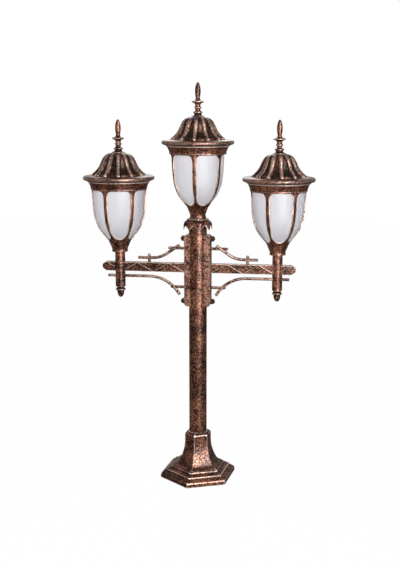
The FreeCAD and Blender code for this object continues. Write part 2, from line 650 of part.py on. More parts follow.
def window():
    """One window's cutter: square-shouldered above, rounded like a U below."""
    slope = RIB_W / 2 / math.cos(math.radians(180.0 / RIBS))
    share = math.sin(math.radians(180.0 / RIBS))
    low_half = share * height_cut(CAGE_BOWL, WINDOW_ROUND_W) - slope
    mid_w = (WINDOW_ROUND_W + WINDOW_TOP_W) / 2
    mid_half = share * height_cut(CAGE_BOWL, mid_w) - slope + WINDOW_BELLY
    top_half = share * height_cut(CAGE_BOWL, WINDOW_TOP_W) - slope
    corner = WINDOW_CORNER_R
    bend = corner * (1 - math.sqrt(0.5))

    def spot(half, w):
        return V(WINDOW_CUT_R, half, w)

    edges = []
    for way in (1, -1):
        edges.append([
            Part.Arc(spot(way * low_half, WINDOW_ROUND_W), spot(way * mid_half, mid_w),
                     spot(way * top_half, WINDOW_TOP_W - corner)).toShape(),
            Part.Arc(spot(way * top_half, WINDOW_TOP_W - corner),
                     spot(way * (top_half - bend), WINDOW_TOP_W - bend),
                     spot(way * (top_half - corner), WINDOW_TOP_W)).toShape()])
    top = Part.makeLine(spot(top_half - corner, WINDOW_TOP_W), spot(corner - top_half, WINDOW_TOP_W))
    drop = WINDOW_ROUND_W - WINDOW_BOTTOM_W
    bottom = Part.BSplineCurve()
    turns = [math.radians(angle) for angle in range(0, 181, 30)]
    bottom.interpolate([spot(low_half * math.cos(turn), WINDOW_ROUND_W - drop * math.sin(turn))
                        for turn in turns])
    outline = Part.Wire(Part.__sortEdges__(edges[0] + [top] + edges[1] + [bottom.toShape()]))
    return Part.Face(outline).extrude(V(SEAT_R, 0, 0))


def glass():
    """Opal cup that stands on the cage's ledge."""
    outer = parallel(cage_inner_line(), -SEAT)
    outer[0] = (outer[0][0] - SEAT, LEDGE_W + SEAT)
    inner = parallel(outer, -GLASS_WALL)
    inner[0] = (inner[0][0], LEDGE_W + SEAT)
    top_r = CAGE_MOUTH_R - SEAT
    return turned(
        ("straight", outer[:2]),
        ("arcs", outer[1:]),
        ("straight", [(top_r, GLASS_TOP_W), (top_r - GLASS_WALL, GLASS_TOP_W)]),
        ("arcs", inner[:0:-1]),
        ("straight", inner[:1]))


def roof_gasket():
    """Flat ring between the cage's seat and the roof."""
    edge_r = SEAT_R - GASKET_EDGE
    return turned(("straight", [(SEAT_R - SEAT_WIDTH, SEAT_W), (edge_r, SEAT_W), (edge_r, SEAT_W + GASKET_T),
                                (SEAT_R - SEAT_WIDTH, SEAT_W + GASKET_T)]))


def fluted_ring(w, ridge_r, depth):
    """One level of the dome: a closed smooth line with a ridge over each flute pitch."""
    steps = 2
    spots = []
    for i in range(FLUTES * steps):
        phase = math.pi * i / steps
        radius = ridge_r - depth * math.sin(phase) ** 2
        angle = 2 * math.pi * i / (FLUTES * steps)
        spots.append(V(radius * math.cos(angle), radius * math.sin(angle), w))
    curve = Part.BSplineCurve()
    curve.interpolate(spots, PeriodicFlag=True)
    return Part.Wire([curve.toShape()])


def roof():
    """Fluted dome on a brim with a rolled lip, hollow inside, with a ring that centres it."""
    base_w = SEAT_W + GASKET_T
    ring_r = CAGE_MOUTH_R - ROOF_SPIGOT_PLAY
    pocket_w = BRIM_TOP_W - BRIM_WALL
    brim = turned(
        ("straight", [(0, BRIM_TOP_W), (0, SPIGOT_RING_W), (ring_r, SPIGOT_RING_W), (ring_r, pocket_w),
                      (SEAT_R - SEAT_WIDTH, pocket_w), (SEAT_R - SEAT_WIDTH, base_w), (SEAT_R, base_w),
                      (LIP_INNER_R, LIP_LOW_W)]),
        ("arcs", [(LIP_INNER_R, LIP_LOW_W), (LIP_R, (LIP_LOW_W + LIP_TOP_W) / 2), (LIP_INNER_R, LIP_TOP_W)]),
        ("straight", [(DOME[0][1] + BRIM_SHELF, BRIM_TOP_W)]))
    dome = Part.makeLoft([fluted_ring(*level) for level in DOME], True, True)
    valleys = [(ridge_r - depth, w) for w, ridge_r, depth in DOME[1:-1]]
    inner = parallel(valleys, -DOME_WALL)
    hollow = turned(
        ("straight", [(0, SPIGOT_RING_W - OVERCUT), (ring_r - SPIGOT_RING_T, SPIGOT_RING_W - OVERCUT),
                      (ring_r - SPIGOT_RING_T, pocket_w - POCKET_STEP)]),
        ("arcs", inner),
        ("straight", [(0, inner[-1][1])]))
    bore = Part.makeCylinder(STUD_R + SEAT, STUD_BORE_L, V(0, 0, ROOF_TOP_W - STUD_BORE_LOW))
    return brim.fuse(dome).cut(hollow).cut(bore)


def finial():
    """Turned spire on a stud: cone, two beads, a saucer and a flame."""
    base_w = ROOF_TOP_W + SEAT
    flame_r, flame_h = SPIRE[-1]
    flame_top = FINIAL_TOP_W - FLAME_TIP_H
    middle_w = (ROOF_TOP_W + flame_h + flame_top) / 2 + FLAME_BELLY_UP
    return turned(
        ("straight", [(0, ROOF_TOP_W - STUD_L), (STUD_R, ROOF_TOP_W - STUD_L), (STUD_R, base_w),
                      (SPIRE[0][0], base_w)]),
        ("straight", [(r, ROOF_TOP_W + h) for r, h in SPIRE]),
        ("arcs", [(flame_r, ROOF_TOP_W + flame_h), (FLAME_R, middle_w), (flame_r, flame_top)]),
        ("straight", [(FLAME_TIP_R + FLAME_TIP_SWELL, FINIAL_TOP_W - FLAME_TIP_H / 3),
                      (FLAME_TIP_R, FINIAL_TOP_W), (0, FINIAL_TOP_W)]))


def holder_stem():
    """Threaded tube that carries the lampholder and the cable."""
    return turned(("straight", [(STEM_BORE_R, STEM_LOW_W), (STEM_R, STEM_LOW_W), (STEM_R, STEM_TOP_W),
                                (STEM_BORE_R, STEM_TOP_W)]))


def stem_nuts():
    """Two nuts that clamp the stem to the cage's floor."""
    return [hex_nut(STEM_NUT_AF, STEM_NUT_T, STEM_R + THREAD_PLAY, V(0, 0, FLOOR_T), UP),
            hex_nut(STEM_NUT_AF, STEM_NUT_T, STEM_R + THREAD_PLAY, V(0, 0, -STEM_NUT_T), UP)]


def lampholder():
    """Ceramic holder on the stem, open at the top for the lamp's cap."""
    return turned(("straight", [(STEM_R + THREAD_PLAY, HOLDER_LOW_W), (HOLDER_R - HOLDER_TAPER, HOLDER_LOW_W),
                                (HOLDER_R, HOLDER_LOW_W + 2 * HOLDER_TAPER), (HOLDER_R, HOLDER_TOP_W),
                                (HOLDER_BORE_R, HOLDER_TOP_W), (HOLDER_BORE_R, HOLDER_FLOOR_W),
                                (STEM_R + THREAD_PLAY, HOLDER_FLOOR_W)]))


def bulb_cap():
    """Metal screw cap of the lamp."""
    return Part.makeCylinder(CAP_R, CAP_L, V(0, 0, CAP_LOW_W))


def bulb_globe():
    """Pear-shaped lamp envelope."""
    top_w = CAP_LOW_W + BULB_L
    centre_w = top_w - BULB_R
    turn = math.radians(BULB_MEET_ANGLE)
    meet = (BULB_R * math.cos(turn), centre_w - BULB_R * math.sin(turn))
    neck_w = CAP_LOW_W + CAP_L
    return turned(
        ("straight", [(0, neck_w), (BULB_NECK_R, neck_w), (BULB_NECK_R, neck_w + BULB_NECK_L), meet]),
        ("arcs", [meet, (BULB_R * math.cos(turn / 2), centre_w + BULB_R * math.sin(turn / 2)), (0, top_w)]))


LANTERN_PIECES = {"cage": cage, "glass": glass, "roof_gasket": roof_gasket, "roof": roof, "finial": finial,
                  "holder_stem": holder_stem, "stem_nuts": stem_nuts, "lampholder": lampholder,
                  "bulb_cap": bulb_cap, "bulb_globe": bulb_globe}


def lantern_pieces():
    """Every piece of the three lanterns, turned and placed."""
    nodes = {}
    for piece, make in LANTERN_PIECES.items():
        made = make()
        shape = Part.makeCompound(made) if isinstance(made, list) else made
        for name, (x, turn) in LANTERNS.items():
            copy = shape.copy()
            copy.rotate(V(0, 0, 0), UP, turn)
            foot_z = POLE_TOP_Z + CROWN_DISC_T if name == "centre" else SIDE_FOOT_Z
            copy.translate(V(x, 0, foot_z))
            nodes[name + "_" + piece] = copy
    return nodes


def arm_pieces():
    """Every piece of the two arms."""
    nodes = {}
    for name, side in SIDES.items():
        nodes[name + "_strap"] = strap(side)
        nodes[name + "_arm_bar"] = arm_bar(side)
        nodes[name + "_upper_rod"] = upper_rod(side)
        nodes[name + "_lower_rod"] = lower_rod(side)
        nodes[name + "_upper_peg"] = side_peg(side, UPPER_PEG_X, UPPER_PEG_Z)
        nodes[name + "_lower_peg"] = side_peg(side, LOWER_PEG_X, LOWER_PEG_Z)
        nodes[name + "_arm_peg"] = arm_peg(side)
        nodes[name + "_lantern_tube"] = lantern_tube(side)
        nodes[name + "_drop_finial"] = drop_finial(side)
    return nodes


def main():
    """Build every piece and write one file per node."""
    nodes = {"base_cover": base_cover(), "base_screws": Part.makeCompound(base_screws()),
             "ground_plate": ground_plate(), "pole": pole(), "crown": crown(),
             "crown_screws": Part.makeCompound(crown_screws()), "tie_rods": Part.makeCompound(tie_rods()),
             "tie_washers": Part.makeCompound(tie_washers()), "tie_nuts": Part.makeCompound(tie_nuts())}
    nodes.update(arm_pieces())
    nodes.update(lantern_pieces())
    os.makedirs("parts", exist_ok=True)
    for name, shape in nodes.items():
        shape.exportStep("parts/" + name + ".step")
    print(len(nodes), "nodes")


if __name__ == "__main__":
    main()
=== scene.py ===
import logging
import math
from dataclasses import dataclass, field
from enum import Enum
from typing import Callable, Iterable, Sequence

import bmesh
import bpy
import numpy as np
from mathutils import Matrix, Vector


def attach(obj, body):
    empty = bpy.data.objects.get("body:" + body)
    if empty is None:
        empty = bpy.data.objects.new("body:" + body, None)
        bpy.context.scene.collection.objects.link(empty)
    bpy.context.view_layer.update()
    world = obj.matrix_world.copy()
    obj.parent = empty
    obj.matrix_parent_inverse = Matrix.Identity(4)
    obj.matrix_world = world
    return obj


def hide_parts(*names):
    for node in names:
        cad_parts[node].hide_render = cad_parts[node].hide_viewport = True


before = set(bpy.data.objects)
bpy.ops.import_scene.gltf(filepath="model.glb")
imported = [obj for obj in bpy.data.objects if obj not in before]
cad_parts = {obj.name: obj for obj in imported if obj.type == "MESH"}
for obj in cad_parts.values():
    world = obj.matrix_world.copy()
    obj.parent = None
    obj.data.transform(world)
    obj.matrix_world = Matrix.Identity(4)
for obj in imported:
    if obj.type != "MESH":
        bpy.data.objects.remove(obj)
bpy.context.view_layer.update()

MM = 0.001
MERGE = 0.00002      # corners nearer than this, in metres, become one
SHORTEST = 1e-10     # the least squared length of an edge, in square metres
WEAR_ROUNDS = 2      # how many times wear is evened out with its neighbours
DEEPEST = -0.95      # a hollow's least value, so that a marked corner never reads 0
LUMP = 0.009         # size of a casting's lumps, in metres
SHARP = 60.0         # edges over this angle, in degrees, stay sharp on castings and turned pieces
WHITE = (1.0, 1.0, 1.0)
log = logging.getLogger("lamp_post")
Piece = bpy.types.Object
Corner = bmesh.types.BMVert
Socket = bpy.types.NodeSocket
Colour = tuple[float, float, float]
Span = Sequence[float]


# ---------------- modelling tools
@dataclass(frozen=True)
class Level:
    """One ring of a turned piece, in millimetres.

    r is the radius over the ridges, z the height, depth how far the valleys between the ridges
    fall back, and lift how far the ring rises in the valleys.
    """

    r: float
    z: float
    depth: float = 0.0
    lift: float = 0.0


def smooth_line(points: Sequence[tuple[float, ...]], parts: int) -> list[Level]:
    """Run a smooth line through a few points.

    Args:
        points: (r, z) or (r, z, depth) or (r, z, depth, lift), in millimetres.
        parts: levels made from one point to the next.

    Returns:
        The levels along the line, both ends included.
    """
    full = [tuple(p) + (0.0,) * (4 - len(p)) for p in points]
    levels = []
    for i in range(len(full) - 1):
        a, b = full[i], full[i + 1]
        before = full[i - 1] if i else tuple(2 * p - q for p, q in zip(a, b))
        after = full[i + 2] if i + 2 < len(full) else tuple(2 * q - p for p, q in zip(a, b))
        for step in range(parts):
            t = step / parts
            levels.append(Level(*(
                0.5 * (2 * p + (q - o) * t + (2 * o - 5 * p + 4 * q - r) * t * t
                       + (3 * p - 3 * q + r - o) * t ** 3)
                for o, p, q, r in zip(before, a, b, after))))
    return levels + [Level(*full[-1])]


def plain_line(points: Sequence[tuple[float, ...]]) -> list[Level]:
    """The levels at the points themselves, with a straight run from each to the next."""
    return [Level(*p) for p in points]


class Shop:
    """The bench: small steps that every piece uses."""

    @staticmethod
    def clear() -> None:
        """Leave edit mode and deselect everything."""
        if bpy.context.object and bpy.context.object.mode != "OBJECT":
            bpy.ops.object.mode_set(mode="OBJECT")
        bpy.ops.object.select_all(action="DESELECT")

    @staticmethod
    def take(obj: Piece) -> None:
        """Make a piece the only selected and active one.

        Args:
            obj: the piece.
        """
        Shop.clear()
        obj.select_set(True)
        bpy.context.view_layer.objects.active = obj

    @staticmethod
    def name(obj: Piece, name: str) -> Piece:
        """Name a piece and its mesh.

        Args:
            obj: the piece.
            name: the name of both.

        Returns:
            The piece.
        """
        obj.name = name
        obj.data.name = name
        return obj

    @staticmethod
    def box(middle: Sequence[float], size: Sequence[float]) -> Piece:
        """Make a box.

        Args:
            middle: its middle, in millimetres.
            size: its size along X, Y and Z, in millimetres.

        Returns:
            The box, with its place in its mesh.
        """
        Shop.clear()
        bpy.ops.mesh.primitive_cube_add(size=1.0, location=[m * MM for m in middle],
                                        scale=[s * MM for s in size])
        bpy.ops.object.transform_apply(location=True, rotation=True, scale=True)
        return bpy.context.object

    @staticmethod
    def pick_faces(obj: Piece, test: Callable[[Vector], bool]) -> None:
        """Select, in edit mode, the faces whose middles pass a test.

        Args:
            obj: the piece in edit mode.
            test: takes a place in millimetres.
        """
        bpy.ops.mesh.select_mode(type="FACE")
        bpy.ops.mesh.select_all(action="DESELECT")
        mesh = bmesh.from_edit_mesh(obj.data)
        for face in mesh.faces:
            if test(face.calc_center_median() / MM):
                face.select_set(True)
        mesh.select_flush_mode()
        bmesh.update_edit_mesh(obj.data)

    @staticmethod
    def extrude(x: float, y: float, z: float) -> None:
        """Extrude what is selected by so many millimetres along each axis."""
        bpy.ops.mesh.extrude_region_move(TRANSFORM_OT_translate={"value": (x * MM, y * MM, z * MM)})

    @staticmethod
    def apply(obj: Piece, kind: str, **settings: object) -> None:
        """Add a modifier, set it and apply it.

        Args:
            obj: the piece.
            kind: the modifier's type.
            **settings: its values.
        """
        Shop.take(obj)
        modifier = obj.modifiers.new(kind.lower(), kind)
        for key, value in settings.items():
            setattr(modifier, key, value)
        bpy.ops.object.modifier_apply(modifier=modifier.name)

    @staticmethod
    def cut(obj: Piece, tool: Piece) -> None:
        """Cut a tool out of a piece, and throw the tool away."""
        Shop.apply(obj, "BOOLEAN", operation="DIFFERENCE", object=tool, solver="EXACT")
        bpy.data.objects.remove(tool, do_unlink=True)

    @staticmethod
    def join(objs: Sequence[Piece], name: str) -> Piece:
        """Join pieces into one.

        Args:
            objs: the pieces.
            name: name of the result.

        Returns:
            The joined piece.
        """
        Shop.take(objs[0])
        for obj in objs:
            obj.select_set(True)
        bpy.ops.object.join()
        return Shop.name(bpy.context.object, name)

    @staticmethod
    def copy(obj: Piece, name: str, place: Matrix) -> Piece:
        """Copy a piece with a mesh of its own.

        Args:
            obj: the piece to copy.
            name: the copy's name.
            place: where the copy goes.

        Returns:
            The copy, with its place in its mesh.
        """
        twin = obj.copy()
        twin.data = obj.data.copy()
        bpy.context.scene.collection.objects.link(twin)
        twin.data.transform(place)
        if place.determinant() < 0:
            twin.data.flip_normals()
        return Shop.name(twin, name)

    @staticmethod
    def outward(obj: Piece) -> None:
        """Merge doubles and turn the faces outwards.

        Args:
            obj: the piece.
        """
        Shop.take(obj)
        bpy.ops.object.mode_set(mode="EDIT")
        bpy.ops.mesh.select_all(action="SELECT")
        bpy.ops.mesh.remove_doubles(threshold=MERGE)
        bpy.ops.mesh.normals_make_consistent(inside=False)
        bpy.ops.object.mode_set(mode="OBJECT")

    @staticmethod
    def smooth(obj: Piece, angle: float) -> None:
        """Shade smooth, with edges over the angle in degrees kept sharp."""
        Shop.take(obj)
        bpy.ops.object.shade_smooth_by_angle(angle=math.radians(angle))


@dataclass
class Lathe:
    """Turns a piece about an upright axis: a ring that is raised and resized level by level.

    Fields: name; segments round the ring; folds, the number of ridges or leaves; turn, the
    direction of the first ridge in degrees; ridge, the half-width of a ridge in millimetres, or 0
    for an even wave; climb, the power by which the ring rises from a ridge to a valley, under 1
    where the folds are leaves with points.
    """

    name: str
    segments: int = 96
    folds: int = 1
    turn: float = 0.0
    ridge: float = 0.0
    climb: float = 1.0

    def fall(self, share: float, radius: float) -> float:
        """How far the ring falls back on the way from a ridge to a valley.

        Args:
            share: how far round, 0 on the ridge and 1 in the valley.
            radius: the ring's radius.

        Returns:
            0 on the ridge to 1 in the valley.
        """
        if not self.ridge:
            return 0.5 - 0.5 * math.cos(math.pi * share)
        t = min(share * math.pi * radius / self.folds / self.ridge, 1.0)
        return 1.0 - math.sqrt(max(1.0 - t * t, 0.0))

    def classes(self, ring: Iterable[Corner]) -> dict[float, list[Corner]]:
        """Sort a ring's corners by how far they are from a ridge.

        Args:
            ring: the corners.

        Returns:
            The corners at each share of the way from a ridge to a valley.
        """
        pitch = 360.0 / self.folds
        groups: dict[float, list[Corner]] = {}
        for vert in ring:
            angle = (math.degrees(math.atan2(vert.co.y, vert.co.x)) - self.turn) % pitch
            share = round(min(angle, pitch - angle) / (pitch / 2), 3)
            groups.setdefault(share, []).append(vert)
        return groups

    def shape_ring(self, obj: Piece, old: Level, new: Level) -> None:
        """Move the selected ring from one level's outline to another's.

        Args:
            obj: the piece in edit mode, with its last ring selected.
            old: the outline that the ring has now.
            new: the outline that it gets.
        """
        centre = (0.0, 0.0, 0.0)
        if not (old.depth or new.depth or old.lift or new.lift):
            k = new.r / old.r
            bpy.ops.transform.resize(value=(k, k, 1.0), center_override=centre)
            return
        mesh = bmesh.from_edit_mesh(obj.data)
        mesh.verts.ensure_lookup_table()
        ring = [v for v in mesh.verts[-2 * self.segments:] if v.select]
        for share, group in self.classes(ring).items():
            for vert in ring:
                vert.select = False
            for vert in group:
                vert.select = True
            k = ((new.r - new.depth * self.fall(share, new.r))
                 / (old.r - old.depth * self.fall(share, old.r)))
            rise = (new.lift - old.lift) * share ** self.climb * MM
            bpy.ops.transform.resize(value=(k, k, 1.0), center_override=centre)
            if rise:
                bpy.ops.transform.translate(value=(0.0, 0.0, rise))
        for vert in ring:
            vert.select = True
        mesh.select_flush_mode()

    def make(self, levels: Sequence[Level], closed: bool = False) -> Piece:
        """Raise the ring through its levels.

        Args:
            levels: the outline, from its first ring to its last.
            closed: join the last ring to the first, as a shell; otherwise both ends get a cap.

        Returns:
            The piece, about the Z axis, with its faces outwards.
        """
        Shop.clear()
        first = levels[0]
        bpy.ops.mesh.primitive_circle_add(
            vertices=self.segments, radius=first.r * MM, location=(0.0, 0.0, first.z * MM),
            rotation=(0.0, 0.0, math.radians(self.turn) - math.pi / 2))
        obj = bpy.context.object
        bpy.ops.object.transform_apply(location=True, rotation=True, scale=True)
        bpy.ops.object.mode_set(mode="EDIT")
        bpy.ops.mesh.select_mode(type="VERT")
        bpy.ops.mesh.select_all(action="SELECT")
        self.shape_ring(obj, Level(first.r, first.z), first)
        for old, new in zip(levels, levels[1:]):
            Shop.extrude(0.0, 0.0, new.z - old.z)
            self.shape_ring(obj, old, new)
        bpy.ops.mesh.select_all(action="DESELECT")
        bpy.ops.mesh.select_non_manifold()
        if closed:
            bpy.ops.mesh.bridge_edge_loops()
        else:
            bpy.ops.mesh.fill_holes(sides=0)
        bpy.ops.object.mode_set(mode="OBJECT")
        Shop.outward(obj)
        return Shop.name(obj, self.name)


# ---------------- finishes
class Graph:
    """The node graph of a material or a world, built in few words."""

    MIX_INPUTS = (0, 6, 7)
    MIX_RESULT = 2

    def __init__(self, owner: bpy.types.ID) -> None:
        """Start with no nodes.

        Args:
            owner: the new material or world whose graph it is.
        """
        self.owner = owner
        owner.use_nodes = True
        self.tree = owner.node_tree
        self.tree.nodes.clear()

    def put(self, socket: Socket, value: object) -> None:
        """Link an output to a node's input, or give the input a value.

        Args:
            socket: the input.
            value: another node's output, a number or a colour.
        """
        if isinstance(value, Socket):
            self.tree.links.new(value, socket)
        elif socket.type == "RGBA":
            socket.default_value = (*value, 1.0)
        else:
            socket.default_value = value

    def add(self, kind: str, settings: dict | None = None, **inputs: object) -> bpy.types.Node:
        """Add a node.

        Args:
            kind: the node's type, without its "ShaderNode" start.
            settings: the node's own properties.
            **inputs: values or sockets for its inputs, with _ for each space in their names.

        Returns:
            The node.
        """
        node = self.tree.nodes.new("ShaderNode" + kind)
        for key, value in (settings or {}).items():
            setattr(node, key, value)
        for key, value in inputs.items():
            sockets = [s for s in node.inputs if s.name.replace(" ", "_") == key and s.enabled]
            self.put(sockets[0], value)
        return node

    def math(self, operation: str, a: object, b: object) -> Socket:
        """Join two numbers or outputs by an operation.

        Args:
            operation: the operation's name, such as ADD.
            a: the first of them.
            b: the second of them.

        Returns:
            The result, held between 0 and 1.
        """
        node = self.add("Math", {"operation": operation, "use_clamp": True})
        self.put(node.inputs[0], a)
        self.put(node.inputs[1], b)
        return node.outputs[0]

    def span(self, value: Socket, source: Span, target: Span = (0.0, 1.0)) -> Socket:
        """Stretch a span of a value onto another span, held at its ends.

        Args:
            value: the value.
            source: the span that it has.
            target: the span that it gets.

        Returns:
            The stretched value.
        """
        node = self.add("MapRange", Value=value, From_Min=source[0], From_Max=source[1],
                        To_Min=target[0], To_Max=target[1])
        return node.outputs["Result"]

    def noise(self, scale: float, detail: float = 2.0, roughness: float = 0.5) -> Socket:
        """Noise over the piece.

        Args:
            scale: grains per metre.
            detail: octaves.
            roughness: weight of the fine octaves.

        Returns:
            The noise's value.
        """
        place = self.add("TexCoord").outputs["Object"]
        return self.add("TexNoise", Vector=place, Scale=scale, Detail=detail,
                        Roughness=roughness).outputs["Fac"]

    def bump(self, height: Socket, strength: float, distance: float) -> Socket:
        """The normal of a relief, from its height, its strength and its depth in metres."""
        return self.add("Bump", Strength=strength, Distance=distance, Height=height).outputs["Normal"]

    def blend(self, share: object, a: object, b: object) -> Socket:
        """Mix two colours by a share.

        Args:
            share: 0 for a, 1 for b.
            a: colour or socket.
            b: colour or socket.

        Returns:
            The mixed colour.
        """
        node = self.add("Mix", {"data_type": "RGBA"})
        for number, value in zip(self.MIX_INPUTS, (share, a, b)):
            self.put(node.inputs[number], value)
        return node.outputs[self.MIX_RESULT]

    def ramp(self, value: Socket,
             stops: Sequence[tuple[float, Colour]]) -> Socket:
        """Colour a value by stops.

        Args:
            value: what is coloured.
            stops: each stop's value and colour, from low to high.

        Returns:
            The colour.
        """
        node = self.add("ValToRGB", Fac=value)
        band = node.color_ramp.elements
        for element, (place, colour) in zip((band[0], band[1]), (stops[0], stops[-1])):
            element.position = place
            element.color = colour + (1.0,)
        for place, colour in stops[1:-1]:
            band.new(place).color = colour + (1.0,)
        return node.outputs["Color"]

    def finish(self, shader: bpy.types.Node) -> bpy.types.ID:
        """Join the shader to the output and hand the material or world over.

        Args:
            shader: the last shader of the graph.

        Returns:
            The graph's owner.
        """
        kind = "OutputWorld" if isinstance(self.owner, bpy.types.World) else "OutputMaterial"
        self.add(kind, Surface=shader.outputs[0])
        return self.owner


@dataclass(frozen=True)
class HammeredCopper:
    """Antique copper over black, in flecks, bared bright where the metal stands out: wear, and also a painted
    highlight. It is dark in hollows, partly as the coat and partly as painted shade, and painted shade
    darkens nooks and the places where parts meet.

    The grain is a number all over the surface, and the copper shows where it passes an edge.

    Fields: name; ground, the dark coat; brown, the thin copper round a fleck; fleck; light, its
    brightest grains; rubbed_and_highlight, the bare edges, also a painted highlight; stops, where past the
    edge the first four colours are full; grain, fine flecks per metre; coarser and patchy, how many times
    larger the coarse flecks and the patches are; fine, the fine flecks' share; patch and lift, the patches'
    span and what they add; edge, the edge at half cover; give, how far cover moves it; cover, the share of
    flecks;
    worn_and_highlit, the span of wear that bares an edge bright, as wear and as a painted highlight;
    worn_grain, the grain past the edge that wears through, and worn_least, how much of the rest does;
    hollows, the span of wear in a hollow, which takes the coat and painted shade;
    marked, that of any marked piece; nooks and nook_reach, a nook's open sky, where ambient occlusion paints
    shade, and its reach in metres; dark, how far hollows and the painted shade darken; bare, the grain past
    the edge that is metal; shine, the flecks' roughness; smoother, how much less the coat has; metal, how
    metallic the flecks are;
    gloss, the specular level; relief, the bump's strength and its depth in metres.
    """

    name: str
    ground: Colour = (0.004, 0.002, 0.0015)
    brown: Colour = (0.016, 0.004, 0.002)
    fleck: Colour = (0.066, 0.019, 0.008)
    light: Colour = (0.28, 0.125, 0.076)
    # The bare edges' bright colour: wear, and also a painted highlight on lips and ridges.
    rubbed_and_highlight: Colour = (0.72, 0.52, 0.42)
    stops: tuple = (-0.07, -0.015, 0.035, 0.11)
    grain: float = 400.0
    coarser: float = 2.3
    patchy: float = 16.0
    fine: float = 0.62
    patch: Span = (0.35, 0.65)
    lift: float = 0.09
    edge: float = 0.53
    give: float = 0.2
    cover: float = 0.5
    # The span of wear that bares an edge bright: wear, and also a painted highlight.
    worn_and_highlit: Span = (0.66, 0.95)
    worn_grain: Span = (-0.1, 0.02)
    worn_least: float = 0.2
    # Hollows and nooks darken: the dark coat in hollows, with painted shade in creases, and painted shade by
    # ambient occlusion in nooks and where parts meet.
    hollows: Span = (0.47, 0.3)
    marked: Span = (0.0, 0.02)
    nooks: Span = (0.85, 0.5)
    nook_reach: float = 0.007
    dark: float = 0.85
    bare: Span = (-0.07, 0.03)
    shine: float = 0.40
    smoother: float = 0.04
    metal: float = 0.17
    gloss: float = 0.055
    relief: Span = (0.5, 0.0004)

    def grains(self, g: Graph) -> Socket:
        """The grain: fine and coarse flecks, denser in patches.

        Args:
            g: the finish's graph.

        Returns:
            The grain.
        """
        fine = g.noise(self.grain, detail=1.0, roughness=0.6)
        coarse = g.noise(self.grain / self.coarser, detail=1.0)
        patch = g.noise(self.grain / self.patchy)
        both = g.math("ADD", g.math("MULTIPLY", fine, self.fine), g.math("MULTIPLY", coarse, 1.0 - self.fine))
        return g.math("ADD", both, g.span(patch, self.patch, (0.0, self.lift)))

    def hollow(self, g: Graph, wear: Socket) -> Socket:
        """How far a place lies in a hollow, where the dark coat has stayed with painted shade in the creases,
        or in a nook, where ambient occlusion paints shade near other parts.

        Args:
            g: the finish's graph.
            wear: the wear marked on the piece, which reads 0 on a piece without it.

        Returns:
            0 in the open, 1 in a hollow.
        """
        # Hollows: the dark coat, and painted shade in creases and under steps.
        deep = g.math("MULTIPLY", g.span(wear, self.hollows), g.span(wear, self.marked))
        # Painted shade: ambient occlusion darkens nooks and the places where one part meets another.
        nook = g.add("AmbientOcclusion", {"samples": 6}, Distance=self.nook_reach).outputs["AO"]
        return g.math("MAXIMUM", deep, g.span(nook, self.nooks))

    def make(self) -> bpy.types.Material:
        """Build the finish.

        Returns:
            The material.
        """
        g = Graph(bpy.data.materials.new(self.name))
        grain = self.grains(g)
        edge = self.edge + self.give * (0.5 - self.cover)
        colours = (self.ground, self.brown, self.fleck, self.light)
        coat = g.ramp(grain, [(edge + stop, colour) for stop, colour in zip(self.stops, colours)])
        wear = g.add("Attribute", {"attribute_name": "wear"}).outputs["Fac"]
        through = g.span(grain, [edge + end for end in self.worn_grain], (self.worn_least, 1.0))
        # Bright bared edges, as wear and as a painted highlight.
        worn_and_highlit = g.math("MULTIPLY", g.span(wear, self.worn_and_highlit), through)
        # Dark coat and painted shade: hollows and nooks turn towards the ground colour.
        colour = g.blend(g.math("MULTIPLY", self.hollow(g, wear), self.dark), coat, self.ground)
        bare = g.span(grain, [edge + end for end in self.bare])
        return g.finish(g.add(
            "BsdfPrincipled", Base_Color=g.blend(worn_and_highlit, colour, self.rubbed_and_highlight),
            Metallic=g.math("MULTIPLY", g.math("MAXIMUM", bare, worn_and_highlit), self.metal),
            Roughness=g.span(bare, (0.0, 1.0), (self.shine - self.smoother, self.shine)),
            Specular_IOR_Level=self.gloss, Normal=g.bump(grain, *self.relief)))


@dataclass(frozen=True)
class OpalGlass:
    """Milk-white glass with a satin face.

    Fields: name; colour; cloud, the colour of its clouds, and clouds, how many in a metre;
    uneven, the span of noise that is cloudy; roughness; gloss, the specular level; depth and reach,
    how much light spreads inside and how far, in metres; waves, ripples per metre, and relief,
    their strength and depth in metres.
    """

    name: str = "glass_opal"
    colour: Colour = (0.94, 0.92, 0.98)
    cloud: Colour = (0.92, 0.90, 0.96)
    clouds: float = 18.0
    uneven: Span = (0.4, 0.62)
    roughness: float = 0.5
    gloss: float = 0.12
    depth: float = 0.5
    reach: float = 0.02
    waves: float = 60.0
    relief: Span = (0.08, 0.0004)

    def make(self) -> bpy.types.Material:
        """Build the finish.

        Returns:
            The material.
        """
        g = Graph(bpy.data.materials.new(self.name))
        cloudy = g.span(g.noise(self.clouds), self.uneven)
        return g.finish(g.add(
            "BsdfPrincipled", Base_Color=g.blend(cloudy, self.colour, self.cloud), Roughness=self.roughness,
            Specular_IOR_Level=self.gloss, Subsurface_Weight=self.depth, Subsurface_Scale=self.reach,
            Subsurface_Radius=(1.0, 1.0, 1.0), Normal=g.bump(g.noise(self.waves), *self.relief)))


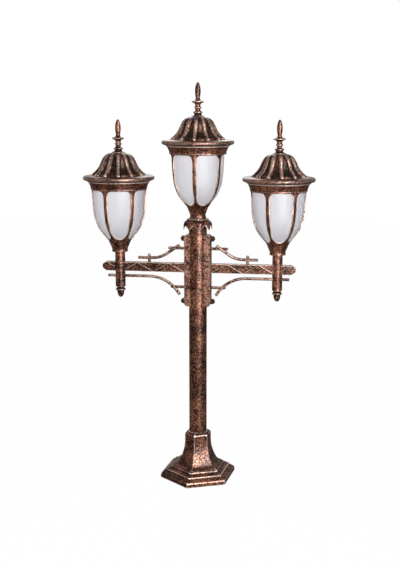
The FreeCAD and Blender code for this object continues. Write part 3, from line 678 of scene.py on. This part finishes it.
@dataclass(frozen=True)
class PlainFinish:
    """A plain material with a little unevenness in its colour and gloss.

    Fields: name; colour; shade, the colour of its uneven places; roughness; metallic; grain,
    marks per metre; uneven, the span of noise that is shaded; streaks, the span that changes the
    gloss, and change, by how much; relief, the bump's strength and its depth in metres.
    """

    name: str
    colour: Colour
    shade: Colour
    roughness: float
    metallic: float
    grain: float
    uneven: Span = (0.4, 0.62)
    streaks: Span = (0.3, 0.7)
    change: float = 0.06
    relief: Span = (0.1, 0.0002)

    def make(self) -> bpy.types.Material:
        """Build the finish.

        Returns:
            The material.
        """
        g = Graph(bpy.data.materials.new(self.name))
        noise = g.noise(self.grain, detail=3.0, roughness=0.6)
        rough = g.span(noise, self.streaks, (self.roughness - self.change, self.roughness + self.change))
        return g.finish(g.add(
            "BsdfPrincipled", Base_Color=g.blend(g.span(noise, self.uneven), self.colour, self.shade),
            Roughness=rough, Metallic=self.metallic, Normal=g.bump(noise, *self.relief)))


class Finish(Enum):
    """Every finish on the lamp post."""

    CAST = HammeredCopper("cast_hammered", cover=0.42)
    # A lighter copy of the copper for the cages, whose funnels face down: painted light that lifts their
    # shade.
    CAGE_LIGHTENED = HammeredCopper("cage_hammered", cover=0.54)
    ROOF = HammeredCopper("roof_hammered", cover=0.5)
    STEEL = HammeredCopper("steel_hammered", cover=0.5)
    STRAP = HammeredCopper("strap_hammered", cover=0.62, light=(0.32, 0.17, 0.12))
    RODS = HammeredCopper("rod_hammered", cover=0.7, light=(0.40, 0.26, 0.20))
    NUTS = HammeredCopper("nut_hammered", cover=0.3)
    OPAL = OpalGlass()
    ZINC = PlainFinish("steel_zinc", (0.55, 0.55, 0.56), (0.42, 0.42, 0.44), 0.42, 0.9, 90.0)
    RUBBER = PlainFinish("seal_rubber", (0.02, 0.02, 0.02), (0.035, 0.033, 0.03), 0.75, 0.0, 200.0)
    HOLDER = PlainFinish("holder_gloss", (0.80, 0.78, 0.72), (0.72, 0.70, 0.64), 0.25, 0.0, 60.0)
    LAMP = PlainFinish("lamp_milk", (0.88, 0.88, 0.85), (0.82, 0.82, 0.78), 0.35, 0.0, 30.0)

    def material(self) -> bpy.types.Material:
        """The finish's material, made once."""
        return bpy.data.materials.get(self.value.name) or self.value.make()


def mark_wear(obj: Piece, bend: float) -> None:
    """Note on each corner how far the surface stands out there, as the attribute "wear".

    The note is 0.5 where the surface is flat, 1 on an edge and near 0 in a hollow. The finishes bare its
    edges bright, as wear and as a painted highlight, and darken its hollows, as the dark coat and as painted
    shade.

    Args:
        obj: the piece.
        bend: the curvature, per metre, that counts as a full edge.
    """
    mesh = obj.data
    count = len(mesh.vertices)
    place = np.empty(count * 3)
    normal = np.empty(count * 3)
    edges = np.empty(len(mesh.edges) * 2, dtype=np.int64)
    mesh.vertices.foreach_get("co", place)
    mesh.vertices.foreach_get("normal", normal)
    mesh.edges.foreach_get("vertices", edges)
    place, normal = place.reshape(-1, 3), normal.reshape(-1, 3)
    a, b = edges.reshape(-1, 2).T
    run = place[b] - place[a]
    curve = ((normal[b] - normal[a]) * run).sum(1) / np.maximum((run * run).sum(1), SHORTEST)
    near = np.maximum(np.bincount(a, minlength=count) + np.bincount(b, minlength=count), 1)
    value = (np.bincount(a, curve, count) + np.bincount(b, curve, count)) / near
    for _ in range(WEAR_ROUNDS):
        around = np.bincount(a, value[b], count) + np.bincount(b, value[a], count)
        value = 0.5 * value + 0.5 * around / near
    mesh.attributes.new("wear", "FLOAT", "POINT")
    wear = 0.5 + 0.5 * np.clip(value / bend, DEEPEST, 1.0)
    mesh.attributes["wear"].data.foreach_set("value", wear.astype(np.float32))


@dataclass(frozen=True)
class Skin:
    """Skin of a casting.

    Fields: voxel, the size of its meshes, and uneven, the height of its unevenness, in millimetres;
    bend, the curvature, per metre, that counts as a full edge.
    """

    voxel: float
    uneven: float
    bend: float

    def lay(self, obj: Piece) -> None:
        """Give a piece the even, slightly softened skin of a casting, and mark its wear.

        Args:
            obj: the piece.
        """
        Shop.apply(obj, "REMESH", mode="VOXEL", voxel_size=self.voxel * MM, use_smooth_shade=True)
        Shop.apply(obj, "SMOOTH", factor=0.5, iterations=1)
        mark_wear(obj, self.bend)
        texture = bpy.data.textures.new(obj.name + "_uneven", "CLOUDS")
        texture.noise_scale = LUMP
        Shop.apply(obj, "DISPLACE", texture=texture, strength=self.uneven * MM, mid_level=0.5,
                   texture_coords="LOCAL")
        Shop.smooth(obj, SHARP)


def finish_piece(obj: Piece, finish: Finish, body: str, node: str) -> None:
    """Dress a casting and tie it to the frame.

    Args:
        obj: the piece.
        finish: its finish.
        body: the body that it rides on.
        node: the CAD node that it stands for.
    """
    obj.data.materials.clear()
    obj.data.materials.append(finish.material())
    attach(obj, body)
    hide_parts(node)
    log.info("%s: %d faces on %s", obj.name, len(obj.data.polygons), body)


# ---------------- base and crown
@dataclass
class BaseCover:
    """Hexagonal stepped foot with a flared body, cast in one piece.

    Sizes in millimetres: radii at the corners and heights, from the foot up.
    """

    turn: float = 21.6
    foot: tuple = (
        (133.6, 0.4), (134.0, 1.2), (133.2, 13.5), (132.0, 15.6), (130.0, 17.4), (116.6, 24.8),
        (115.4, 26.2), (115.0, 28.4), (114.0, 29.6), (106.6, 30.0), (105.2, 31.0), (97.0, 34.4),
        (95.6, 35.6), (95.2, 38.6), (94.2, 40.0), (92.4, 40.6), (90.2, 40.7), (89.4, 41.4), (89.0, 43.2))
    flare: tuple = (
        (88.0, 43.9), (73.0, 51.0), (61.0, 69.0), (53.5, 88.0), (48.8, 106.0), (46.6, 125.0), (46.4, 138.0))
    top: tuple = ((46.4, 153.0), (45.9, 154.6), (44.4, 156.0), (36.5, 162.2), (35.0, 163.0), (20.0, 163.0))
    inside: tuple = (
        (20.0, 149.0), (38.0, 149.0), (40.0, 125.0), (42.6, 106.0), (47.0, 88.0), (54.4, 67.0),
        (66.0, 46.0), (86.0, 30.0), (110.0, 19.0), (126.0, 12.0), (127.0, 0.4))
    pole_hole: float = 30.3
    hole_middle: float = 160.0
    hole_height: float = 60.0
    skin: Skin = Skin(1.7, 0.25, 170.0)

    def build(self) -> None:
        """Turn the hexagon, cut the pole's hole and give it a casting's skin."""
        levels = plain_line(self.foot) + smooth_line(self.flare, parts=5) + plain_line(self.top + self.inside)
        body = Lathe("base_casting", segments=6, turn=self.turn).make(levels, closed=True)
        Shop.clear()
        bpy.ops.mesh.primitive_cylinder_add(vertices=96, radius=self.pole_hole * MM,
                                            depth=self.hole_height * MM,
                                            location=(0.0, 0.0, self.hole_middle * MM))
        Shop.cut(body, bpy.context.object)
        self.skin.lay(body)
        finish_piece(body, Finish.CAST, "post", "base_cover")


@dataclass
class Crown:
    """Skirt of pointed leaves round the pole's top.

    Sizes in millimetres: radius, height, how far the valleys between leaves fall back, and how far
    they rise towards the leaves' points.
    """

    leaves: int = 8
    turn: float = 14.6
    outside: tuple = (
        (33.6, 903.4, 0.0, 0.0), (35.8, 901.6, 0.0, 0.0), (36.4, 898.6, 0.4, 0.0), (40.8, 895.0, 1.6, 1.0),
        (45.4, 889.5, 3.0, 3.0), (47.6, 881.5, 4.6, 7.0), (48.0, 873.0, 5.6, 12.0),
        (48.6, 867.2, 5.0, 16.5), (48.2, 865.8, 4.0, 17.5))
    inside: tuple = (
        (46.0, 866.6, 4.0, 17.0), (44.2, 873.5, 4.0, 12.0), (42.4, 882.0, 3.0, 7.0),
        (37.0, 889.5, 1.0, 2.0), (30.3, 892.0, 0.0, 0.0), (30.3, 903.4, 0.0, 0.0))
    leaf_climb: float = 0.8
    skin: Skin = Skin(1.0, 0.2, 270.0)

    def build(self) -> None:
        """Turn the skirt with its leaves and give it a casting's skin."""
        lathe = Lathe("crown_leaves", segments=160, folds=self.leaves, turn=self.turn, climb=self.leaf_climb)
        body = lathe.make(smooth_line(self.outside, parts=3) + plain_line(self.inside), closed=True)
        self.skin.lay(body)
        finish_piece(body, Finish.CAST, "post", "crown")


# ---------------- lanterns
@dataclass(frozen=True)
class Stand:
    """Where a lantern stands: its name, X and foot height in metres, and turn in degrees."""

    name: str
    x: float
    foot: float
    turn: float

    def place(self) -> Matrix:
        """The move from the pattern at the origin to this stand."""
        return Matrix.Translation((self.x, 0.0, self.foot)) @ Matrix.Rotation(math.radians(self.turn), 4, "Z")


@dataclass
class Lantern:
    """Urn-shaped lantern: ribbed cage, fluted roof and turned finial, made once as patterns.

    Sizes in millimetres, heights from the underside of the foot flange. A window's outline
    starts at window_top, follows the heights of window_sides, and is round below window_round in
    round_steps of round_turn degrees. dome_skin tells the dome's outside from its inside, and
    ridge_gain and valley_loss are what ridges gain and valleys lose in wear.
    """

    ribs: int = 6
    flutes: int = 12
    foot: tuple = ((26.6, 0.3), (27.0, 0.9), (27.0, 6.6), (26.4, 7.8), (25.6, 8.6, 0.4))
    bowl: tuple = (
        (25.8, 9.6, 0.9), (28.4, 16.0, 1.6), (33.2, 27.0, 2.4), (38.0, 38.0, 2.6), (47.8, 50.0, 2.4),
        (60.8, 66.0, 1.8), (72.0, 83.0, 1.4), (81.0, 107.0, 1.4), (84.9, 124.0, 1.4), (88.1, 149.0, 1.4),
        (89.8, 182.0, 1.4), (91.0, 203.0, 1.4))
    band: tuple = (
        (91.6, 210.6), (93.8, 211.4), (94.6, 212.8), (94.6, 214.2), (93.4, 215.6), (94.0, 218.0),
        (95.2, 221.0), (95.8, 224.4), (97.2, 225.6), (97.9, 228.0), (99.2, 231.4), (101.6, 234.2),
        (104.2, 236.0), (105.0, 237.0), (104.8, 238.0))
    inner: tuple = (
        (98.5, 238.0), (87.0, 227.0), (87.0, 204.0), (85.7, 182.0), (84.1, 149.0), (80.9, 124.0),
        (77.0, 107.0), (68.4, 84.5), (57.4, 68.5), (46.0, 55.5), (38.0, 46.0), (31.0, 40.0), (27.0, 38.0),
        (19.0, 6.0), (5.4, 6.0), (5.4, 0.3))
    rib_half: float = 6.0
    ridge_half: float = 8.6
    window_low: float = 46.0
    window_round: float = 92.0
    window_top: float = 210.0
    window_corner: tuple = (12.0, 26.0)
    window_sides: tuple = (172.0, 156.0, 140.0, 124.0, 112.0, 102.0)
    corner_steps: int = 8
    round_steps: int = 12
    round_turn: float = 7.2
    cutter_middle: float = 70.0
    cutter_length: float = 110.0
    cutter_slab: float = 1.0
    roof_inside_low: tuple = (
        (82.0, 227.2), (86.0, 227.0), (86.4, 227.6), (86.4, 252.4), (98.4, 252.4), (98.4, 239.6),
        (105.0, 239.6), (109.0, 240.0), (112.0, 241.0))
    lip: tuple = (
        (115.6, 242.2), (118.2, 244.8), (119.0, 248.0), (118.4, 251.2), (116.2, 253.8), (112.4, 255.4),
        (105.0, 256.4), (97.0, 257.0), (92.0, 257.2))
    dome: tuple = (
        (90.4, 257.4, 10.5), (90.0, 259.0, 10.6), (87.6, 262.4, 10.2), (81.0, 267.4, 9.6),
        (74.6, 274.0, 9.0), (66.8, 283.6, 8.0), (61.4, 294.0, 7.0), (54.9, 308.0, 6.0), (48.2, 318.4, 4.8),
        (38.6, 326.0, 3.2), (26.0, 330.4, 1.2), (18.0, 331.4, 0.0))
    roof_inside: tuple = (
        (4.6, 331.4), (4.6, 325.6), (18.0, 325.2), (31.0, 320.0), (38.0, 312.0), (44.6, 301.0),
        (49.8, 288.0), (55.4, 278.0), (63.4, 268.0), (72.0, 260.0), (79.0, 252.0), (82.0, 246.0))
    spire: tuple = (
        (21.4, 331.6), (22.0, 332.4), (20.4, 333.4), (14.5, 335.9), (12.2, 338.6), (12.0, 340.6),
        (14.4, 342.2), (15.6, 344.6), (14.4, 346.9), (10.8, 348.8), (8.5, 351.4), (8.3, 353.8),
        (9.2, 356.2), (11.2, 357.8), (11.8, 359.6), (11.2, 361.4), (9.4, 363.2), (8.7, 366.0), (9.2, 370.0),
        (12.6, 373.6), (18.4, 375.9), (20.2, 378.2), (18.6, 380.4), (12.2, 382.4), (8.2, 385.6),
        (7.0, 389.5), (7.6, 395.0), (8.9, 403.0), (9.4, 411.0), (9.0, 419.0), (7.6, 427.0), (5.6, 433.6),
        (3.2, 438.4), (1.2, 440.0))
    cage_skin: Skin = Skin(1.5, 0.2, 330.0)
    # roof_bend and ridge_gain bare the lip and the dome's ridges bright: wear, and also a painted highlight.
    roof_bend: float = 190.0
    roof_sharp: float = 50.0
    finial_bend: float = 380.0
    dome_skin: float = 1.0
    ridge_gain: float = 0.16
    valley_loss: float = 0.34

    def window_half(self, w: float) -> float:
        """Half the width of a window, which leaves the ribs of even width.

        Args:
            w: the height.

        Returns:
            Half the window's width there.
        """
        radius = float(np.interp(w, [p[1] for p in self.bowl], [p[0] for p in self.bowl]))
        return radius * math.sin(math.pi / self.ribs) - self.rib_half / math.cos(math.pi / self.ribs)

    def window(self, number: int) -> Piece:
        """A window's cutter: square-shouldered above, rounded like a U below.

        Args:
            number: which window, counted round from the first rib.

        Returns:
            The cutter, in its place.
        """
        wide, high = self.window_corner
        outline = []     # heights, from the top, and the window's half-width at each
        for step in range(self.corner_steps + 1):
            turn = math.radians(90.0 * step / self.corner_steps)
            w = self.window_top - high * (1.0 - math.cos(turn))
            outline.append((w, self.window_half(w) - wide * (1.0 - math.sin(turn))))
        outline += [(w, self.window_half(w)) for w in self.window_sides]
        low_half = self.window_half(self.window_round)
        drop = self.window_round - self.window_low
        for step in range(self.round_steps + 1):
            turn = math.radians(self.round_turn * step)
            outline.append((self.window_round - drop * math.sin(turn), low_half * math.cos(turn)))
        top, top_half = outline[0]
        cutter = Shop.box((self.cutter_middle, 0.0, top - self.cutter_slab / 2),
                          (self.cutter_length, 2 * top_half, self.cutter_slab))
        bpy.ops.object.mode_set(mode="EDIT")
        Shop.pick_faces(cutter, lambda p: p.z < top - 0.9 * self.cutter_slab)
        outline[0] = (top - self.cutter_slab, top_half)
        for (old_w, old), (new_w, new) in zip(outline, outline[1:]):
            Shop.extrude(0.0, 0.0, new_w - old_w)
            bpy.ops.transform.resize(value=(1.0, new / old, 1.0),
                                     center_override=(self.cutter_middle * MM, 0.0, 0.0))
        bpy.ops.object.mode_set(mode="OBJECT")
        Shop.outward(cutter)
        cutter.data.transform(Matrix.Rotation(math.pi * (2 * number + 1) / self.ribs, 4, "Z"))
        return cutter

    def cage(self) -> Piece:
        """Make the cage's pattern: funnel foot, ribs, band and seat for the roof.

        Returns:
            The pattern.
        """
        levels = plain_line(self.foot) + smooth_line(self.bowl, parts=4) + plain_line(self.band + self.inner)
        lathe = Lathe("cage_pattern", segments=144, folds=self.ribs, ridge=self.rib_half)
        body = lathe.make(levels, closed=True)
        for number in range(self.ribs):
            Shop.cut(body, self.window(number))
        self.cage_skin.lay(body)
        return body

    def roof(self) -> Piece:
        """Make the roof's pattern: fluted dome on a brim with a rolled lip.

        Returns:
            The pattern.
        """
        levels = plain_line(self.roof_inside_low) + smooth_line(self.lip, parts=2)
        levels += smooth_line(self.dome, parts=3) + plain_line(self.roof_inside)
        lathe = Lathe("roof_pattern", segments=288, folds=self.flutes, ridge=self.ridge_half)
        body = lathe.make(levels, closed=True)
        mark_wear(body, self.roof_bend)
        self.darken_valleys(body)
        Shop.smooth(body, self.roof_sharp)
        return body

    def darken_valleys(self, body: Piece) -> None:
        """Lower the wear note across the dome's valleys and raise it on the ridges, so that the valleys come
        out darker and the ridges lighter.

        Args:
            body: the roof, with its wear marked.
        """
        low, high = self.dome[0][1], self.dome[-1][1]
        pitch = 2 * math.pi / self.flutes
        for vert, mark in zip(body.data.vertices, body.data.attributes["wear"].data):
            x, y, w = vert.co / MM
            radius = math.hypot(x, y)
            outline = float(np.interp(w, [p[1] for p in self.dome], [p[0] - p[2] for p in self.dome]))
            if low < w < high and radius > outline - self.dome_skin:
                angle = math.atan2(y, x) % pitch
                aside = min(angle, pitch - angle) * radius / self.ridge_half
                mark.value = mark.value + self.ridge_gain - self.valley_loss * min(aside, 1.0) ** 2

    def finial(self) -> Piece:
        """Make the finial's pattern: cone, two beads, saucer and flame.

        Returns:
            The pattern.
        """
        body = Lathe("finial_pattern", segments=64).make(smooth_line(self.spire, parts=3))
        mark_wear(body, self.finial_bend)
        Shop.smooth(body, SHARP)
        return body

    def build(self, stands: Sequence[Stand]) -> None:
        """Cast the three patterns for every stand.

        Args:
            stands: where the lanterns stand.
        """
        for pattern, part, finish in ((self.cage(), "cage", Finish.CAGE_LIGHTENED), (self.roof(), "roof", Finish.ROOF),
                                      (self.finial(), "finial", Finish.CAST)):
            for stand in stands:
                node = f"{stand.name}_{part}"
                piece = Shop.copy(pattern, f"{node}_casting", stand.place())
                finish_piece(piece, finish, "post" if part == "cage" else f"{node}_part", node)
            bpy.data.objects.remove(pattern, do_unlink=True)


# ---------------- arms
@dataclass
class Arm:
    """Box bar with a blunt point and a raised zigzag, and the turned end piece of its tube.

    Sizes in millimetres, for the right arm; the left one is its mirror image. flat is how much of
    the bar's section is left at the point, pitch, rib_half, rise, legs and edge are the zigzag's,
    tube_clear is half the length without it round the tube, and room how far its cuts reach out.
    """

    start: float = 44.2
    tip: float = 327.2
    point: float = 14.6
    flat: float = 0.4
    z: float = 736.4
    height: float = 30.6
    depth: float = 22.0
    pitch: float = 107.0
    rib_half: float = 2.6
    rise: float = 1.5
    legs: int = 5
    edge: float = 0.2
    reach: float = 266.1
    tube_clear: float = 17.6
    room: float = 40.0
    drop: tuple = (
        (15.4, 667.9), (15.9, 667.0), (14.6, 664.6), (12.9, 662.6), (12.8, 660.6), (14.6, 659.4),
        (16.5, 657.6), (16.9, 656.0), (16.5, 654.2), (14.8, 652.6), (12.6, 651.6), (11.9, 650.2),
        (11.6, 646.0), (10.6, 640.0), (8.6, 634.6), (6.0, 630.8), (3.6, 629.2), (1.0, 629.0))
    skin: Skin = Skin(0.9, 0.2, 310.0)
    drop_bend: float = 330.0

    def bar(self) -> Piece:
        """Make the bar and its point.

        Returns:
            The bar.
        """
        end = self.tip - self.point
        bar = Shop.box(((self.start + end) / 2, 0.0, self.z), (end - self.start, self.depth, self.height))
        bpy.ops.object.mode_set(mode="EDIT")
        Shop.pick_faces(bar, lambda p: p.x > end - 0.5)
        Shop.extrude(self.point, 0.0, 0.0)
        bpy.ops.transform.resize(value=(1.0, self.flat, self.flat), center_override=(0.0, 0.0, self.z * MM))
        bpy.ops.object.mode_set(mode="OBJECT")
        return bar

    def zigzag(self) -> Piece:
        """Make the raised zigzag, through the bar from front to back.

        Returns:
            The zigzag, as a folded bar of its own.
        """
        low, high = self.z - self.height / 2 + self.edge, self.z + self.height / 2 - self.edge
        start = (self.start * MM, 0.0, low * MM)
        Shop.clear()
        bpy.ops.mesh.primitive_plane_add(size=1.0, location=start)
        strip = bpy.context.object
        bpy.ops.object.mode_set(mode="EDIT")
        # squashed flat from front to back, its doubles merged, the plane is one edge across the rib
        bpy.ops.transform.resize(value=(2 * self.rib_half * MM, 1e-3 * MM, 1.0), center_override=start)
        bpy.ops.mesh.remove_doubles(threshold=MERGE)
        bpy.ops.mesh.select_all(action="SELECT")
        for leg in range(self.legs):
            Shop.extrude(self.pitch / 2, 0.0, high - low if leg % 2 == 0 else low - high)
        bpy.ops.mesh.select_all(action="SELECT")
        deep = self.depth / 2 + self.rise
        bpy.ops.transform.translate(value=(0.0, -deep * MM, 0.0))
        Shop.extrude(0.0, 2 * deep, 0.0)
        bpy.ops.object.mode_set(mode="OBJECT")
        Shop.outward(strip)
        return strip

    def trim(self, strip: Piece, start: float, end: float) -> None:
        """Cut the zigzag away over a length of the arm.

        Args:
            strip: the zigzag.
            start: where the cut starts along X.
            end: where it ends.
        """
        room = 2 * self.room
        Shop.cut(strip, Shop.box(((start + end) / 2, 0.0, self.z), (end - start, room, room)))

    def build(self) -> None:
        """Make both arms' bars and end pieces."""
        strip = self.zigzag()
        self.trim(strip, self.start - self.room, self.start)
        self.trim(strip, self.reach - self.tube_clear, self.reach + self.tube_clear)
        bar = Shop.join((self.bar(), strip), "arm_pattern")
        self.skin.lay(bar)
        drop = Lathe("drop_pattern", segments=56).make(smooth_line(self.drop, parts=3))
        drop.data.transform(Matrix.Translation((self.reach * MM, 0.0, 0.0)))
        mark_wear(drop, self.drop_bend)
        Shop.smooth(drop, SHARP)
        for side, way in (("left", -1.0), ("right", 1.0)):
            for pattern, part in ((bar, "arm_bar"), (drop, "drop_finial")):
                node = f"{side}_{part}"
                piece = Shop.copy(pattern, f"{node}_casting", Matrix.Diagonal((way, 1.0, 1.0, 1.0)))
                finish_piece(piece, Finish.CAST, "post", node)
        for pattern in (bar, drop):
            bpy.data.objects.remove(pattern, do_unlink=True)


# ---------------- plain parts and studio
@dataclass
class PlainParts:
    """The frame's own pieces that are shown as they are, by a word in their names, with their finishes."""

    finishes: dict[str, Finish] = field(default_factory=lambda: {
        "pole": Finish.STEEL, "tube": Finish.STEEL, "strap": Finish.STRAP, "tie": Finish.NUTS,
        "rod": Finish.RODS, "peg": Finish.RODS, "glass": Finish.OPAL, "gasket": Finish.RUBBER,
        "stem": Finish.ZINC, "screws": Finish.ZINC, "plate": Finish.ZINC, "cap": Finish.ZINC,
        "lampholder": Finish.HOLDER, "globe": Finish.LAMP})

    def dress(self) -> None:
        """Give every node of the frame its finish."""
        for name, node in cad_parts.items():
            finish = next((f for key, f in self.finishes.items() if key in name), Finish.CAST)
            node.data.materials.clear()
            node.data.materials.append(finish.material())
        log.info("plain parts: %d nodes dressed", len(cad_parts))


@dataclass(frozen=True)
class Light:
    """A soft lamp.

    Fields: name; place, and size, its width and height, in metres; power in watts; gloss, where
    only glossy surfaces see it.
    """

    name: str
    place: tuple
    size: tuple
    power: float
    gloss: bool = False

    def hang(self, aim: tuple) -> None:
        """Add the lamp, which the camera doesn't see.

        Args:
            aim: the place that it looks at.
        """
        Shop.clear()
        bpy.ops.object.light_add(type="AREA", location=self.place)
        lamp = bpy.context.object
        lamp.name = self.name
        lamp.data.shape = "RECTANGLE"
        lamp.data.size, lamp.data.size_y = self.size
        lamp.visible_camera = False
        lamp.visible_diffuse = not self.gloss
        lamp.data.energy = self.power
        lamp.rotation_euler = (Vector(aim) - Vector(self.place)).to_track_quat("-Z", "Y").to_euler()


@dataclass
class Studio:
    """White floor and background, soft lamps and the camera.

    Lengths in metres, the lens and the sensor in millimetres. floor_greys are the floor's colours to
    all but the camera, floor_seen its colour to the camera, and floor_share how much of that is
    white of its own.
    """

    camera_place: tuple = (0.4169, -2.9028, 1.2745)
    camera_turn: tuple = (78.4874, 0.0, 8.0355)
    lens: float = 56.085
    sensor: float = 36.0
    lights: tuple = (Light("key_lamp", (0.65, -2.9, 1.25), (0.6, 1.4), 60.0),
                     Light("sheen_lamp", (1.63, -2.33, 1.6), (0.4, 3.0), 900.0, gloss=True),
                     Light("front_sheen", (0.75, -2.95, 0.7), (0.9, 1.2), 130.0, gloss=True),
                     Light("left_lamp", (-1.7, -0.9, 1.5), (0.4, 0.8), 10.0),
                     Light("right_lamp", (1.9, -0.4, 1.6), (0.4, 0.8), 5.0),
                     Light("back_lamp", (-0.4, 2.6, 2.4), (1.4, 1.4), 40.0))
    aim: tuple = (0.0, 0.0, 0.65)
    ambient: Colour = (0.17, 0.165, 0.185)
    floor_size: float = 14.0
    floor_greys: tuple = ((0.33, 0.33, 0.33), (0.37, 0.37, 0.37))
    floor_grain: float = 3.0
    floor_uneven: Span = (0.3, 0.7)
    floor_seen: Colour = (0.97, 0.97, 0.97)
    floor_share: float = 0.985

    def floor(self) -> None:
        """Lay the white floor, which keeps the shadow."""
        Shop.clear()
        bpy.ops.mesh.primitive_plane_add(size=self.floor_size, location=(0.0, 0.0, 0.0))
        floor = Shop.name(bpy.context.object, "floor")
        g = Graph(bpy.data.materials.new("white_floor"))
        seen = g.add("LightPath").outputs["Is Camera Ray"]
        grey = g.blend(g.span(g.noise(self.floor_grain), self.floor_uneven), *self.floor_greys)
        matte = g.add("BsdfDiffuse", Color=g.blend(seen, grey, self.floor_seen))
        white = g.add("Emission", Color=WHITE, Strength=1.0)
        mix = g.add("MixShader")
        share = g.math("MULTIPLY", seen, self.floor_share)
        for socket, source in zip(mix.inputs, (share, matte.outputs[0], white.outputs[0])):
            g.put(socket, source)
        floor.data.materials.append(g.finish(mix))

    def world(self) -> None:
        """Set white where the camera, gloss or glass looks, and a plain soft light otherwise."""
        g = Graph(bpy.data.worlds.new("studio"))
        path = g.add("LightPath").outputs
        seen = g.math("MAXIMUM", path["Is Camera Ray"], path["Is Glossy Ray"])
        seen = g.math("MAXIMUM", seen, path["Is Transmission Ray"])
        sky = g.add("Background", Color=g.blend(seen, self.ambient, WHITE), Strength=1.0)
        bpy.context.scene.world = g.finish(sky)

    def camera(self) -> None:
        """Stand the camera where the photograph was taken."""
        bpy.ops.object.camera_add(location=self.camera_place,
                                  rotation=[math.radians(a) for a in self.camera_turn])
        camera = bpy.context.object
        camera.data.lens = self.lens
        camera.data.sensor_width = self.sensor
        bpy.context.scene.camera = camera
        log.info("studio: camera at %s", self.camera_place)

    def build(self) -> None:
        """Set the whole studio up."""
        self.floor()
        self.world()
        for light in self.lights:
            light.hang(self.aim)
        self.camera()
        bpy.context.scene.view_settings.view_transform = "Standard"


def main() -> None:
    """Build every sub-assembly, the plain parts and the studio."""
    logging.basicConfig(level=logging.INFO, format="%(name)s: %(message)s")
    PlainParts().dress()
    BaseCover().build()
    Crown().build()
    reach = Arm.reach * MM
    Lantern().build((Stand("centre", 0.0, 0.904, 30.6), Stand("left", -reach, 0.786, 12.1),
                     Stand("right", reach, 0.786, 9.7)))
    Arm().build()
    Studio().build()


if __name__ == "__main__":
    main()
